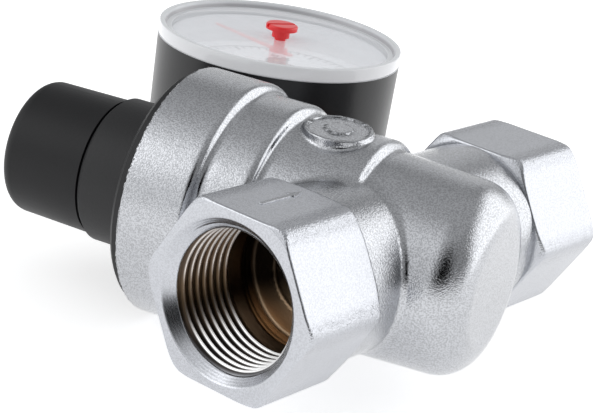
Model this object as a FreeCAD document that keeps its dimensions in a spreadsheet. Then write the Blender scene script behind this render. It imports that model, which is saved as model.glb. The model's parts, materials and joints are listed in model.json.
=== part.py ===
"""Pressure reducing valve with a leaning spring barrel and a stem mounted pressure gauge.

The valve lies on its back with the gauge dial up. The origin is the centre of the inlet thread at
its first full turn, +Y runs along the flow from inlet to outlet, and +Z points out of the gauge
dial. All sizes are in millimetres and live in the Sizes sheet.
"""
import FreeCAD, Part
import math
import os

import Sketcher
from FreeCAD import Placement, Rotation, Vector

SIZES = {
    # flow line
    "inlet_reach": 43.0, "outlet_reach": 47.0, "hex_flats": 32.0, "hex_length": 20.0,
    "hex_bevel_radius": 17.1, "hex_bevel_depth": 1.2, "neck_radius": 15.8,
    "port_thread_radius": 13.22, "port_thread_depth": 16.5, "mouth_radius": 14.4,
    "port_bore_radius": 9.5, "port_bore_cone": 2.0, "bore_overlap": 7.0, "outlet_wall": 5.0,
    # casting barrel, heights measured along the barrel from the flow line towards the knob
    "barrel_lean": 12.7, "rim_radius": 24.0, "rim_step": 29.5,
    "ring_radius": 22.3, "ring_step": 19.5, "waist_radius": 21.2, "waist_step": -1.5,
    "bowl_radius": 19.0, "bowl_end_radius": 17.8, "bowl_depth": 22.5, "bowl_edge": 5.5,
    "step_slope": 1.5, "step_round": 1.4, "rim_edge": 0.6,
    "bonnet_thread_radius": 21.0, "bonnet_thread_length": 8.5, "diaphragm_seat_height": 33.0, "chamber_radius": 17.0,
    "partition_top": 12.5, "partition_bottom": 8.0, "partition_bore": 11.0,
    "strainer_chamber_radius": 14.0, "bowl_floor": 17.5,
    "channel_radius": 4.5, "channel_low_offset": 25.0, "channel_low_height": 2.0,
    "channel_high_offset": 15.0, "channel_high_height": 20.0,
    "badge_radius": 6.0, "badge_height": 11.2, "badge_proud": 0.8, "badge_rim": 0.6, "badge_recess": 0.3,
    # gauge boss on the hidden side
    "boss_offset": 14.5, "boss_tilt": 23.0, "boss_radius": 9.0, "boss_reach": 32.5, "boss_edge": 0.8,
    "gauge_thread_radius": 6.58, "gauge_thread_depth": 10.0, "sense_radius": 2.5, "sense_depth": 10.0,
    # bonnet and diaphragm
    "thread_clearance": 0.1, "slide_clearance": 0.05, "diaphragm_thickness": 1.6, "slip_thickness": 0.7,
    "flange_radius": 22.9, "flange_thickness": 2.2, "collar_radius": 14.2, "collar_length": 12.8,
    "collar_foot": 1.6, "collar_bevel": 0.8, "tube_radius": 11.9, "tube_length": 13.5, "cap_thickness": 3.5,
    "skirt_bore": 16.4, "skirt_taper_low": 0.5, "skirt_taper_high": 3.5, "spring_bore": 10.0,
    "key_reach": 10.9, "key_width": 3.0, "key_clearance": 0.2,
    # adjusting knob and screw
    "knob_radius": 13.4, "knob_top_radius": 13.1, "knob_gap": 0.5, "knob_edge": 2.5,
    "knob_bore": 12.3, "knob_roof": 4.0, "screw_radius": 3.0, "screw_thread_radius": 4.0,
    "screw_collar_radius": 5.5, "screw_collar_thickness": 2.4, "screw_length": 23.0,
    "screw_hex_flats": 6.0, "screw_hex_length": 2.6,
    "nut_radius": 9.8, "nut_drop": 14.0, "nut_thickness": 5.0,
    "spring_radius": 8.1, "spring_wire": 1.3, "spring_turns": 5.0, "spring_seat_gap": 0.03,
    "cup_radius": 12.0, "cup_thickness": 2.0, "cup_ridge": 1.2,
    # stem and cartridge
    "stem_radius": 3.0, "stem_bottom": -1.0, "stem_plate_radius": 11.0, "stem_plate_thickness": 2.0,
    "stem_nut_flats": 9.0, "stem_nut_height": 3.5, "stem_tail": 0.8,
    "membrane_inner": 12.6, "membrane_outer": 16.2, "membrane_dip": 2.2,
    "cartridge_flange": 13.6, "cartridge_flange_thickness": 2.0, "cartridge_neck": 9.4, "cartridge_bottom": -13.0,
    "cartridge_top_bore": 7.0, "seat_radius": 5.6, "seat_top": 9.0, "seat_bottom": 7.5,
    "valve_chamber_radius": 7.9, "valve_chamber_bottom": -5.5, "piston_bore": 5.0, "piston_bore_bottom": -11.5,
    "window_width": 7.0, "window_bottom": -4.0, "window_top": 6.0,
    "oring_wire": 0.9, "cartridge_oring_height": 10.2,
    "obturator_radius": 7.0, "obturator_seal_top": 5.4, "obturator_seal_thickness": 1.1, "obturator_bottom": 1.5,
    "piston_bottom": -9.5, "piston_seal_height": -7.0, "cap_radius": 7.6,
    "mesh_radius": 12.4, "mesh_thickness": 0.35, "cage_thickness": 0.9, "cage_ring": 2.0, "cage_top_gap": 0.1,
    "cage_ribs": 6, "cage_window_width": 10.0,
    # gauge, heights measured from the stem line towards the dial
    "gasket_thickness": 1.2, "wrench_length": 6.3, "case_radius": 25.9, "case_foot_radius": 25.4,
    "case_back": 11.0, "case_top": 17.2, "case_floor": 1.8, "case_lower_bore": 23.2, "case_upper_bore": 24.3,
    "case_edge": 1.4, "dial_height": 10.4, "dial_thickness": 0.5, "dial_gap": 0.3, "dial_hole": 1.6,
    "window_thickness": 1.8, "window_edge": 0.5, "skirt_thickness": 0.8, "skirt_drop": 3.6, "skirt_gap": 0.15,
    "socket_width": 14.0, "socket_half_height": 6.0, "socket_inner": 14.0, "socket_step": 21.0,
    "socket_ledge": 1.5, "socket_gap": 0.1, "gauge_stem_radius": 6.45, "gauge_stem_length": 9.3,
    "tube_line_radius": 17.5, "tube_half_width": 4.0, "tube_half_thickness": 1.1, "tube_wall": 0.35, "tube_corner": 0.7,
    "tube_tip_angle": -14.8, "tube_root_angle": 248.0, "tip_sweep": 12.0, "tip_half_thickness": 1.5, "tip_top": 5.4,
    "plate_half_width": 5.6, "plate_thickness": 0.8, "plate_front": 4.8, "plate_rear": 20.5, "pillar_length": 4.6,
    "pillar_radius": 0.9, "pillar_inset": 1.2,
    "gear_module": 0.2, "pinion_teeth": 12, "sector_teeth": 90, "sector_cut_teeth": 13, "sector_rest": 18.0,
    "gear_thickness": 1.0, "gear_height": 3.2, "gear_backlash": 0.14, "arbor_radius": 0.55, "arbor_clearance": 0.05,
    "tail_reach": 4.2, "tail_angle": -73.0, "link_pin_radius": 0.4, "link_thickness": 0.5, "link_width": 1.3,
    "link_clearance": 0.25, "hairspring_inner": 1.3, "hairspring_outer": 3.0, "hairspring_turns": 4.0,
    "hairspring_thickness": 0.1, "hairspring_width": 0.5, "hairspring_gap": 0.9, "stud_radius": 0.4,
    "pointer_height": 12.4, "pointer_thickness": 0.5, "pointer_reach": 19.0, "pointer_tail": 7.0,
    "pointer_hub_radius": 2.4, "pointer_hub_height": 1.4, "pointer_width": 1.8,
    "stop_pin_radius": 0.5, "stop_pin_offset": 12.0, "stop_pin_angle": 230.2,
    "set_shaft_radius": 1.2, "set_neck_radius": 1.9, "set_cap_radius": 3.4, "set_cap_bottom": 1.5,
    "set_cap_top": 2.9, "set_slot_width": 0.8, "set_slot_depth": 0.7, "set_needle_drop": 0.9,
    "set_needle_thickness": 0.4, "set_needle_reach": 20.5, "set_needle_width": 1.4, "set_angle": 15.0,
}


class Size:
    """A number and the sheet expression that gives it, so that a formula drives the model too."""

    def __init__(self, value, text):
        """Keep the value and its expression text."""
        self.value = float(value)
        self.text = text

    @staticmethod
    def of(other):
        """Return other as a Size."""
        return other if isinstance(other, Size) else Size(other, repr(float(other)))

    def __add__(self, other):
        other = Size.of(other)
        return Size(self.value + other.value, f"({self.text} + {other.text})")

    def __sub__(self, other):
        other = Size.of(other)
        return Size(self.value - other.value, f"({self.text} - {other.text})")

    def __mul__(self, other):
        other = Size.of(other)
        return Size(self.value * other.value, f"({self.text} * {other.text})")

    def __truediv__(self, other):
        other = Size.of(other)
        return Size(self.value / other.value, f"({self.text} / {other.text})")

    def __neg__(self):
        return Size(-self.value, f"(-{self.text})")

    __radd__ = __add__
    __rmul__ = __mul__

    def __rsub__(self, other):
        return Size.of(other) - self


class Sizes:
    """The spreadsheet of driving dimensions, read by alias."""

    def __init__(self, document, table):
        """Write one row a size, with its alias."""
        self.sheet = document.addObject("Spreadsheet::Sheet", "Sizes")
        for row, (alias, value) in enumerate(table.items(), 1):
            self.sheet.set(f"A{row}", alias)
            self.sheet.set(f"B{row}", str(value))
            self.sheet.setAlias(f"B{row}", alias)
        document.recompute()

    def __getattr__(self, alias):
        return Size(getattr(self.sheet, alias), f"Sizes.{alias}")


doc = FreeCAD.newDocument("PressureReducingValve")
sz = Sizes(doc, SIZES)
NODES = []


def bind(item, **values):
    """Set properties, binding each Size to its cells."""
    for name, value in values.items():
        if isinstance(value, Size):
            item.setExpression(name, value.text)
        else:
            setattr(item, name, value)
    return item


def node(item, label, frame=None):
    """Name a finished sub-part and put it in its place."""
    item.Label = label
    if frame is not None:
        item.Placement = frame
    NODES.append(item)
    return item


def origin_plane(body, role):
    """Return one of a body's own origin planes."""
    return next(part for part in body.Origin.OriginFeatures if part.Role == role)


def outline(sketch, points):
    """Draw a closed outline through points, each held by its two distances from the origin."""
    first = sketch.GeometryCount
    count = len(points)
    places = [Vector(Size.of(x).value, Size.of(y).value, 0) for x, y in points]
    for index in range(count):
        sketch.addGeometry(Part.LineSegment(places[index], places[(index + 1) % count]), False)
    for index in range(count):
        after = first + (index + 1) % count
        sketch.addConstraint(Sketcher.Constraint("Coincident", first + index, 2, after, 1))
    for index, point in enumerate(points):
        for kind, value in zip(("DistanceX", "DistanceY"), point):
            value = Size.of(value)
            number = sketch.addConstraint(Sketcher.Constraint(kind, -1, 1, first + index, 1, value.value))
            if "Sizes" in value.text:
                sketch.setExpression(f"Constraints[{number}]", value.text)


def new_body(name):
    """Start an empty body."""
    return doc.addObject("PartDesign::Body", name)


def new_sketch(body, name, role):
    """Start a sketch on one of the body's origin planes."""
    sketch = body.newObject("Sketcher::SketchObject", name)
    sketch.AttachmentSupport = [(origin_plane(body, role), "")]
    sketch.MapMode = "FlatFace"
    return sketch


def turned(name, *loops, angle=360.0):
    """Turn closed outlines of (radius, height) points about the body's Z axis."""
    body = new_body(name)
    sketch = new_sketch(body, f"{name}_profile", "XZ_Plane")
    for loop in loops:
        outline(sketch, loop)
    turn = body.newObject("PartDesign::Revolution", f"{name}_turn")
    turn.Profile = sketch
    turn.ReferenceAxis = (sketch, ["V_Axis"])
    bind(turn, Angle=angle)
    doc.recompute()
    return body


def circle_edges(shape, spots):
    """Name the circular edges that have one of the given radii and heights."""
    wanted = [(Size.of(radius).value, Size.of(height).value) for radius, height in spots]
    names = []
    for number, edge in enumerate(shape.Edges, 1):
        curve = edge.Curve
        if not isinstance(curve, Part.Circle):
            continue
        if any(abs(curve.Radius - r) < 0.01 and abs(curve.Center.z - z) < 0.01 for r, z in wanted):
            names.append(f"Edge{number}")
    return names


def soften(body, kind, spots, size):
    """Fillet or chamfer the circular edges of a turned body at (radius, height) spots."""
    base = body.Tip
    finish = body.newObject(f"PartDesign::{kind}", f"{body.Name}_{kind}".lower())
    finish.Base = (base, circle_edges(base.Shape, spots))
    bind(finish, **{"Radius" if kind == "Fillet" else "Size": size})
    doc.recompute()
    return body


def solid(kind, name, frame=None, **values):
    """Add a Part primitive with bound sizes."""
    item = bind(doc.addObject(f"Part::{kind}", name), **values)
    if frame is not None:
        item.Placement = frame
    return item


def joined(name, *items):
    """Fuse items into one solid."""
    item = doc.addObject("Part::MultiFuse", name)
    item.Shapes = list(items)
    item.Refine = True
    return item


def cut(name, base, tool):
    """Cut a tool out of a base."""
    item = doc.addObject("Part::Cut", name)
    item.Base = base
    item.Tool = tool
    return item


def common(name, *items):
    """Keep only what the items share."""
    item = doc.addObject("Part::MultiCommon", name)
    item.Shapes = list(items)
    return item


def at(x=0.0, y=0.0, z=0.0, turn=0.0):
    """A placement from plain numbers or sizes, turned about Z."""
    place = Vector(*(Size.of(part).value for part in (x, y, z)))
    return Placement(place, Rotation(Vector(0, 0, 1), Size.of(turn).value))


# ---------------------------------------------------------------- heights that follow from others
RIM_TOP = sz.diaphragm_seat_height + sz.bonnet_thread_length
DIAPHRAGM_TOP = sz.diaphragm_seat_height + sz.diaphragm_thickness
CUP_TOP = DIAPHRAGM_TOP + sz.cup_thickness
FLANGE_TOP = RIM_TOP + sz.flange_thickness
COLLAR_TOP = FLANGE_TOP + sz.collar_length
TUBE_TOP = COLLAR_TOP + sz.tube_length
TUBE_ROOF = TUBE_TOP - sz.cap_thickness
KNOB_FOOT = COLLAR_TOP + sz.knob_gap
KNOB_ROOF = TUBE_TOP + sz.knob_gap
KNOB_TOP = KNOB_ROOF + sz.knob_roof
NUT_FOOT = TUBE_TOP - sz.nut_drop
MOUTH_BEVEL = sz.mouth_radius - sz.port_thread_radius
MOUTH_DEPTH = MOUTH_BEVEL + sz.thread_clearance

# ---------------------------------------------------------------- frames
UP = Vector(0, 0, 1)
FLOW = Vector(0, 1, 0)
LEAN = math.radians(sz.barrel_lean.value)
BARREL_UP = Vector(-math.cos(LEAN), -math.sin(LEAN), 0)
BARREL_SIDE = BARREL_UP.cross(UP)
CROSSING = FLOW * (sz.inlet_reach - MOUTH_DEPTH).value
BARREL = Placement(CROSSING, Rotation(UP, BARREL_SIDE, BARREL_UP, "ZXY"))
INLET = Placement(CROSSING - FLOW * sz.inlet_reach.value, Rotation(Vector(1, 0, 0), -90))
OUTLET = Placement(CROSSING + FLOW * sz.outlet_reach.value, Rotation(Vector(1, 0, 0), 90))
TILT = math.radians(sz.boss_tilt.value)
GAUGE_OUT = Vector(-math.cos(TILT), math.sin(TILT), 0)
BOSS_FOOT = CROSSING + FLOW * sz.boss_offset.value
BOSS = Placement(BOSS_FOOT, Rotation(UP, GAUGE_OUT.cross(UP), GAUGE_OUT, "ZXY"))
gauge_reach = sz.boss_reach + sz.gasket_thickness + sz.wrench_length + sz.case_radius
GAUGE = Placement(BOSS_FOOT + GAUGE_OUT * gauge_reach.value, Rotation(UP, 90 - sz.boss_tilt.value))


def barrel_at(offset, height, across=0.0):
    """A point given by its offset from the barrel axis on the outlet side and its height."""
    local = Vector(Size.of(across).value, Size.of(offset).value, Size.of(height).value)
    return BARREL.multVec(local)


# ---------------------------------------------------------------- casting
def port_blank(name, frame, reach):
    """A hexagon with both ends bevelled on the lathe, and the round neck behind it."""
    circumradius = sz.hex_flats / math.sqrt(3)
    prism = solid("Prism", f"{name}_hex", frame, Polygon=6, Circumradius=circumradius, Height=sz.hex_length)
    corner = circumradius + 0.5
    length = sz.hex_length
    lathe = turned(f"{name}_lathe", [
        (0, 0), (sz.hex_bevel_radius, 0), (corner, sz.hex_bevel_depth), (corner, length - sz.hex_bevel_depth),
        (sz.hex_bevel_radius, length), (0, length)])
    lathe.Placement = frame
    neck = solid("Cylinder", f"{name}_neck", frame, Radius=sz.neck_radius, Height=reach)
    return joined(f"{name}_blank", common(f"{name}_bevelled", prism, lathe), neck)


def port_cavity(name, frame, depth):
    """A chamfered mouth, the threaded length and the plain bore behind it."""
    radius = sz.port_thread_radius
    bore = sz.port_bore_radius
    end = sz.port_thread_depth
    cavity = turned(name, [
        (0, -MOUTH_BEVEL), (sz.mouth_radius + MOUTH_BEVEL, -MOUTH_BEVEL), (radius, MOUTH_BEVEL), (radius, end),
        (bore, end + sz.port_bore_cone), (bore, depth), (0, depth)])
    cavity.Placement = frame
    return cavity


def casting_outside():
    """The stepped barrel, both ports, the gauge boss and the plain round badge."""
    slope = sz.step_slope
    steps = [(sz.rim_radius, sz.rim_step, sz.ring_radius), (sz.ring_radius, sz.ring_step, sz.waist_radius),
             (sz.waist_radius, sz.waist_step, sz.bowl_radius)]
    profile = [(0, RIM_TOP), (sz.rim_radius, RIM_TOP)]
    rounds = []
    for wide, height, narrow in steps:
        profile += [(wide, height), (narrow, height - slope)]
        rounds += [(wide, height), (narrow, height - slope)]
    profile += [(sz.bowl_end_radius, -sz.bowl_depth), (0, -sz.bowl_depth)]
    barrel = turned("barrel_blank", profile)
    soften(barrel, "Fillet", rounds, sz.step_round)
    soften(barrel, "Fillet", [(sz.bowl_end_radius, -sz.bowl_depth)], sz.bowl_edge)
    soften(barrel, "Chamfer", [(sz.rim_radius, RIM_TOP)], sz.rim_edge)
    barrel.Placement = BARREL
    inlet = port_blank("inlet", INLET, sz.inlet_reach)
    outlet = port_blank("outlet", OUTLET, sz.outlet_reach)
    edge = sz.boss_edge
    boss = turned("gauge_boss", [
        (0, 0), (sz.boss_radius, 0), (sz.boss_radius, sz.boss_reach - edge),
        (sz.boss_radius - edge, sz.boss_reach), (0, sz.boss_reach)])
    boss.Placement = BOSS
    top = sz.waist_radius + sz.badge_proud
    floor = top - sz.badge_recess
    badge = turned("badge", [
        (0, 0), (sz.badge_radius, 0), (sz.badge_radius, top), (sz.badge_radius - sz.badge_rim, top),
        (sz.badge_radius - sz.badge_rim, floor), (0, floor)])
    badge.Placement = Placement(barrel_at(0, sz.badge_height), Rotation())
    return joined("casting_blank", barrel, inlet, outlet, boss, badge)


def casting_inside():
    """The bonnet thread, both chambers with the partition between them, the ports and the channels."""
    chambers = turned("chambers", [
        (0, RIM_TOP + 1), (sz.bonnet_thread_radius, RIM_TOP + 1),
        (sz.bonnet_thread_radius, sz.diaphragm_seat_height), (sz.chamber_radius, sz.diaphragm_seat_height),
        (sz.chamber_radius, sz.partition_top), (sz.partition_bore, sz.partition_top),
        (sz.partition_bore, sz.partition_bottom), (sz.strainer_chamber_radius, sz.partition_bottom),
        (sz.strainer_chamber_radius, -sz.bowl_floor), (0, -sz.bowl_floor)])
    chambers.Placement = BARREL
    inlet = port_cavity("inlet_bore", INLET, sz.inlet_reach - sz.bore_overlap)
    blind = sz.outlet_reach - sz.strainer_chamber_radius - sz.outlet_wall
    outlet = port_cavity("outlet_bore", OUTLET, blind)
    low = barrel_at(sz.channel_low_offset, sz.channel_low_height)
    high = barrel_at(sz.channel_high_offset, sz.channel_high_height)
    run = high - low
    channel = solid("Cylinder", "outlet_channel", Placement(low, Rotation(UP, run)),
                    Radius=sz.channel_radius, Height=run.Length)
    depth = sz.gauge_thread_depth
    sense = sz.sense_depth
    gauge = turned("gauge_port", [
        (0, sz.boss_reach + 1), (sz.gauge_thread_radius, sz.boss_reach + 1),
        (sz.gauge_thread_radius, sz.boss_reach - depth), (sz.sense_radius, sz.boss_reach - depth - 1.5),
        (sz.sense_radius, sz.boss_reach - depth - sense), (0, sz.boss_reach - depth - sense)])
    gauge.Placement = BOSS
    return joined("casting_cavity", chambers, inlet, outlet, channel, gauge)


def make_valve_body():
    """The one-piece casting."""
    node(cut("valve_body", casting_outside(), casting_inside()), "valve_body")


# ---------------------------------------------------------------- bonnet, knob and adjusting gear
def make_bonnet():
    """The moulded bonnet: threaded skirt, thin flange, collar and spring tube with two keyways."""
    skirt = sz.bonnet_thread_radius - sz.thread_clearance
    foot = DIAPHRAGM_TOP + sz.slip_thickness
    hole = sz.screw_radius + sz.slide_clearance
    low = RIM_TOP + sz.skirt_taper_high
    blank = turned("bonnet_blank", [
        (sz.skirt_bore, foot), (skirt, foot), (skirt, RIM_TOP), (sz.flange_radius, RIM_TOP),
        (sz.flange_radius, FLANGE_TOP), (sz.collar_radius + sz.collar_foot, FLANGE_TOP),
        (sz.collar_radius, FLANGE_TOP + sz.collar_foot), (sz.collar_radius, COLLAR_TOP),
        (sz.tube_radius, COLLAR_TOP), (sz.tube_radius, TUBE_TOP), (hole, TUBE_TOP), (hole, TUBE_ROOF),
        (sz.spring_bore, TUBE_ROOF), (sz.spring_bore, low), (sz.skirt_bore, RIM_TOP + sz.skirt_taper_low)])
    soften(blank, "Chamfer", [(sz.collar_radius, COLLAR_TOP), (sz.flange_radius, FLANGE_TOP)], sz.collar_bevel)
    soften(blank, "Chamfer", [(sz.tube_radius, TUBE_TOP)], sz.collar_bevel)
    keyway = solid("Box", "bonnet_keyways", at(-sz.key_reach, -sz.key_width / 2, low + 2),
                   Length=sz.key_reach * 2, Width=sz.key_width, Height=TUBE_ROOF - low - 2)
    node(cut("bonnet", blank, keyway), "bonnet", BARREL)


def make_slip_ring():
    """The thin ring that lets the bonnet turn home without wringing the diaphragm."""
    top = DIAPHRAGM_TOP + sz.slip_thickness
    outer = sz.bonnet_thread_radius - sz.thread_clearance
    ring = turned("slip_ring", [
        (sz.chamber_radius, DIAPHRAGM_TOP), (outer, DIAPHRAGM_TOP), (outer, top), (sz.chamber_radius, top)])
    node(ring, "slip_ring", BARREL)


def make_knob():
    """The smooth tapered knob, a cap over the bonnet's tube with a hexagon socket in its roof."""
    blank = turned("knob_blank", [
        (sz.knob_bore, KNOB_FOOT), (sz.knob_radius, KNOB_FOOT), (sz.knob_top_radius, KNOB_TOP),
        (0, KNOB_TOP), (0, KNOB_ROOF), (sz.knob_bore, KNOB_ROOF)])
    soften(blank, "Fillet", [(sz.knob_top_radius, KNOB_TOP)], sz.knob_edge)
    socket = solid("Prism", "knob_socket", at(z=KNOB_ROOF - 0.5), Polygon=6,
                   Circumradius=sz.screw_hex_flats / math.sqrt(3), Height=sz.screw_hex_length + 0.5)
    node(cut("adjusting_knob", blank, socket), "adjusting_knob", BARREL)


def make_adjusting_screw():
    """The captive screw: hexagon drive, plain journal, thrust collar and thread."""
    low = TUBE_ROOF - sz.screw_length
    collar_low = TUBE_ROOF - sz.screw_collar_thickness
    shank = turned("screw_shank", [
        (0, low), (sz.screw_thread_radius - 0.6, low), (sz.screw_thread_radius, low + 0.6),
        (sz.screw_thread_radius, collar_low), (sz.screw_collar_radius, collar_low),
        (sz.screw_collar_radius, TUBE_ROOF), (sz.screw_radius, TUBE_ROOF), (sz.screw_radius, KNOB_ROOF),
        (0, KNOB_ROOF)])
    drive = solid("Prism", "screw_drive", at(z=KNOB_ROOF), Polygon=6,
                  Circumradius=sz.screw_hex_flats / math.sqrt(3), Height=sz.screw_hex_length)
    node(joined("adjusting_screw", shank, drive), "adjusting_screw", BARREL)


def make_spring_nut():
    """The keyed nut that travels along the screw and loads the spring."""
    key = sz.key_reach - sz.key_clearance
    width = sz.key_width - sz.key_clearance * 2
    disc = solid("Cylinder", "nut_disc", at(z=NUT_FOOT), Radius=sz.nut_radius, Height=sz.nut_thickness)
    bar = solid("Box", "nut_keys", at(-key, -width / 2, NUT_FOOT), Length=key * 2, Width=width,
                Height=sz.nut_thickness)
    hole = solid("Cylinder", "nut_thread", at(z=NUT_FOOT - 1),
                 Radius=sz.screw_thread_radius + sz.slide_clearance, Height=sz.nut_thickness + 2)
    node(cut("spring_nut", joined("nut_blank", disc, bar), hole), "spring_nut", BARREL)


def make_adjusting_spring():
    """The adjusting spring: a round wire helix with both ends ground flat."""
    low = CUP_TOP
    length = NUT_FOOT - CUP_TOP
    helix = solid("Helix", "spring_line", at(z=low), Pitch=length / sz.spring_turns, Height=length,
                  Radius=sz.spring_radius)
    section = solid("Circle", "spring_section", Radius=sz.spring_wire)
    section.Placement = Placement(Vector(sz.spring_radius.value, 0, low.value), Rotation(Vector(1, 0, 0), 90))
    coil = doc.addObject("Part::Sweep", "spring_coil")
    coil.Sections = [section]
    coil.Spine = (helix, [])
    coil.Solid = True
    coil.Frenet = True
    slab = solid("Cylinder", "spring_grind", at(z=low + sz.spring_seat_gap),
                 Radius=sz.spring_radius + sz.spring_wire * 2, Height=length - sz.spring_seat_gap * 2)
    node(common("adjusting_spring", coil, slab), "adjusting_spring", BARREL)


def make_spring_cup():
    """The cup between spring and diaphragm, with a ridge that centres the spring."""
    low = DIAPHRAGM_TOP
    top = CUP_TOP
    inner = sz.spring_radius + sz.spring_wire + 0.4
    bore = sz.stem_radius + sz.slide_clearance
    cup = turned("spring_cup", [
        (bore, low), (sz.cup_radius, low), (sz.cup_radius, top + sz.cup_ridge), (inner, top + sz.cup_ridge),
        (inner, top), (bore, top)])
    node(cup, "spring_cup", BARREL)


def make_diaphragm():
    """The diaphragm: clamped rim, one rolled fold and a flat centre between its two plates."""
    low = sz.diaphragm_seat_height
    top = DIAPHRAGM_TOP
    dip = sz.membrane_dip
    outer = sz.bonnet_thread_radius - sz.thread_clearance * 2
    fold = (sz.membrane_outer - sz.membrane_inner) / 3
    bore = sz.stem_radius + sz.slide_clearance
    disc = turned("diaphragm", [
        (bore, low), (sz.membrane_inner, low), (sz.membrane_inner + fold, low - dip),
        (sz.membrane_outer - fold, low - dip), (sz.membrane_outer, low), (outer, low), (outer, top),
        (sz.membrane_outer, top), (sz.membrane_outer - fold, top - dip), (sz.membrane_inner + fold, top - dip),
        (sz.membrane_inner, top), (bore, top)])
    node(disc, "diaphragm", BARREL)


def make_stem():
    """The valve stem, with its diaphragm plate turned in one piece, and the nut that clamps it."""
    low = sz.diaphragm_seat_height
    top = CUP_TOP + sz.stem_nut_height + sz.stem_tail
    plate = sz.stem_plate_radius
    stem = turned("valve_stem", [
        (0, sz.stem_bottom), (sz.stem_radius, sz.stem_bottom), (sz.stem_radius, low - sz.stem_plate_thickness),
        (plate, low - sz.stem_plate_thickness), (plate, low), (sz.stem_radius, low), (sz.stem_radius, top),
        (0, top)])
    soften(stem, "Chamfer", [(sz.stem_radius, top)], 0.5)
    node(stem, "valve_stem", BARREL)
    blank = solid("Prism", "stem_nut_hex", at(z=CUP_TOP), Polygon=6,
                  Circumradius=sz.stem_nut_flats / math.sqrt(3), Height=sz.stem_nut_height)
    hole = solid("Cylinder", "stem_nut_hole", at(z=CUP_TOP - 1), Radius=sz.stem_radius + sz.slide_clearance,
                 Height=sz.stem_nut_height + 2)
    node(cut("stem_nut", blank, hole), "stem_nut", BARREL)


# ---------------------------------------------------------------- cartridge
def make_cartridge():
    """The seat cartridge: flange, sealing land, valve seat, four windows and a piston guide."""
    flange_top = sz.partition_top + sz.cartridge_flange_thickness
    land = sz.partition_bore - sz.slide_clearance
    groove = land - sz.oring_wire * 2
    low = sz.cartridge_oring_height - sz.oring_wire
    high = sz.cartridge_oring_height + sz.oring_wire
    neck = sz.cartridge_neck
    blank = turned("cartridge_blank", [
        (sz.cartridge_top_bore, flange_top), (sz.cartridge_flange, flange_top),
        (sz.cartridge_flange, sz.partition_top), (land, sz.partition_top), (land, high), (groove, high),
        (groove, low), (land, low), (land, sz.partition_bottom), (neck, sz.partition_bottom),
        (neck, sz.cartridge_bottom), (sz.cap_radius, sz.cartridge_bottom),
        (sz.cap_radius, sz.piston_bore_bottom), (sz.piston_bore, sz.piston_bore_bottom),
        (sz.piston_bore, sz.valve_chamber_bottom), (sz.valve_chamber_radius, sz.valve_chamber_bottom),
        (sz.valve_chamber_radius, sz.seat_bottom), (sz.seat_radius, sz.seat_bottom),
        (sz.seat_radius, sz.seat_top), (sz.cartridge_top_bore, sz.seat_top)])
    slots = []
    for number in range(2):
        slots.append(solid("Box", f"cartridge_slot_{number}",
                           Placement(Vector(), Rotation(UP, 45 + 90 * number)).multiply(
                               at(-neck - 1, -sz.window_width / 2, sz.window_bottom)),
                           Length=(neck + 1) * 2, Width=sz.window_width,
                           Height=sz.window_top - sz.window_bottom))
    node(cut("cartridge_body", blank, joined("cartridge_slots", *slots)), "cartridge_body", BARREL)
    cap = turned("cartridge_cap", [
        (0, sz.cartridge_bottom), (sz.cap_radius - sz.slide_clearance, sz.cartridge_bottom),
        (sz.cap_radius - sz.slide_clearance, sz.piston_bore_bottom), (0, sz.piston_bore_bottom)])
    node(cap, "cartridge_cap", BARREL)
    seal = solid("Torus", "cartridge_seal", Radius1=land - sz.oring_wire, Radius2=sz.oring_wire - 0.03)
    node(seal, "cartridge_seal", BARREL.multiply(at(z=sz.cartridge_oring_height)))


def make_obturator():
    """The balanced obturator on the stem, its face seal and its piston seal."""
    seal_low = sz.obturator_seal_top - sz.obturator_seal_thickness
    piston = sz.piston_bore - sz.slide_clearance
    groove = piston - sz.oring_wire * 2
    low = sz.piston_seal_height - sz.oring_wire
    high = sz.piston_seal_height + sz.oring_wire
    bore = sz.stem_radius + sz.slide_clearance
    plug = turned("obturator", [
        (bore, seal_low), (sz.obturator_radius, seal_low), (sz.obturator_radius, sz.obturator_bottom),
        (piston, sz.obturator_bottom), (piston, high), (groove, high), (groove, low), (piston, low),
        (piston, sz.piston_bottom), (0, sz.piston_bottom), (0, sz.stem_bottom), (bore, sz.stem_bottom)])
    node(plug, "obturator", BARREL)
    seal = turned("obturator_seal", [
        (bore, seal_low), (sz.obturator_radius, seal_low), (sz.obturator_radius, sz.obturator_seal_top),
        (bore, sz.obturator_seal_top)])
    node(seal, "obturator_seal", BARREL)
    ring = solid("Torus", "piston_seal", Radius1=piston - sz.oring_wire, Radius2=sz.oring_wire - 0.03)
    node(ring, "piston_seal", BARREL.multiply(at(z=sz.piston_seal_height)))


def make_strainer():
    """The strainer: a fine mesh sleeve over a ribbed moulded cage."""
    top = sz.partition_bottom - sz.cage_top_gap
    low = -sz.bowl_floor
    inner = sz.mesh_radius - sz.mesh_thickness
    mesh = turned("strainer_mesh", [(inner, low), (sz.mesh_radius, low), (sz.mesh_radius, top), (inner, top)])
    node(mesh, "strainer_mesh", BARREL)
    outer = inner - 0.02
    bore = outer - sz.cage_thickness
    tube = turned("cage_tube", [(bore, low), (outer, low), (outer, top), (bore, top)])
    height = (top - low - sz.cage_ring * 3) / 2
    windows = []
    for number in range(int(sz.cage_ribs.value) // 2):
        turn = 360.0 / sz.cage_ribs.value * number
        for row in range(2):
            base = low + sz.cage_ring + (height + sz.cage_ring) * row
            windows.append(solid("Box", f"cage_window_{number}_{row}",
                                 Placement(Vector(), Rotation(UP, turn)).multiply(
                                     at(-outer - 1, -sz.cage_window_width / 2, base)),
                                 Length=(outer + 1) * 2, Width=sz.cage_window_width, Height=height))
    node(cut("strainer_cage", tube, joined("cage_windows", *windows)), "strainer_cage", BARREL)


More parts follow.
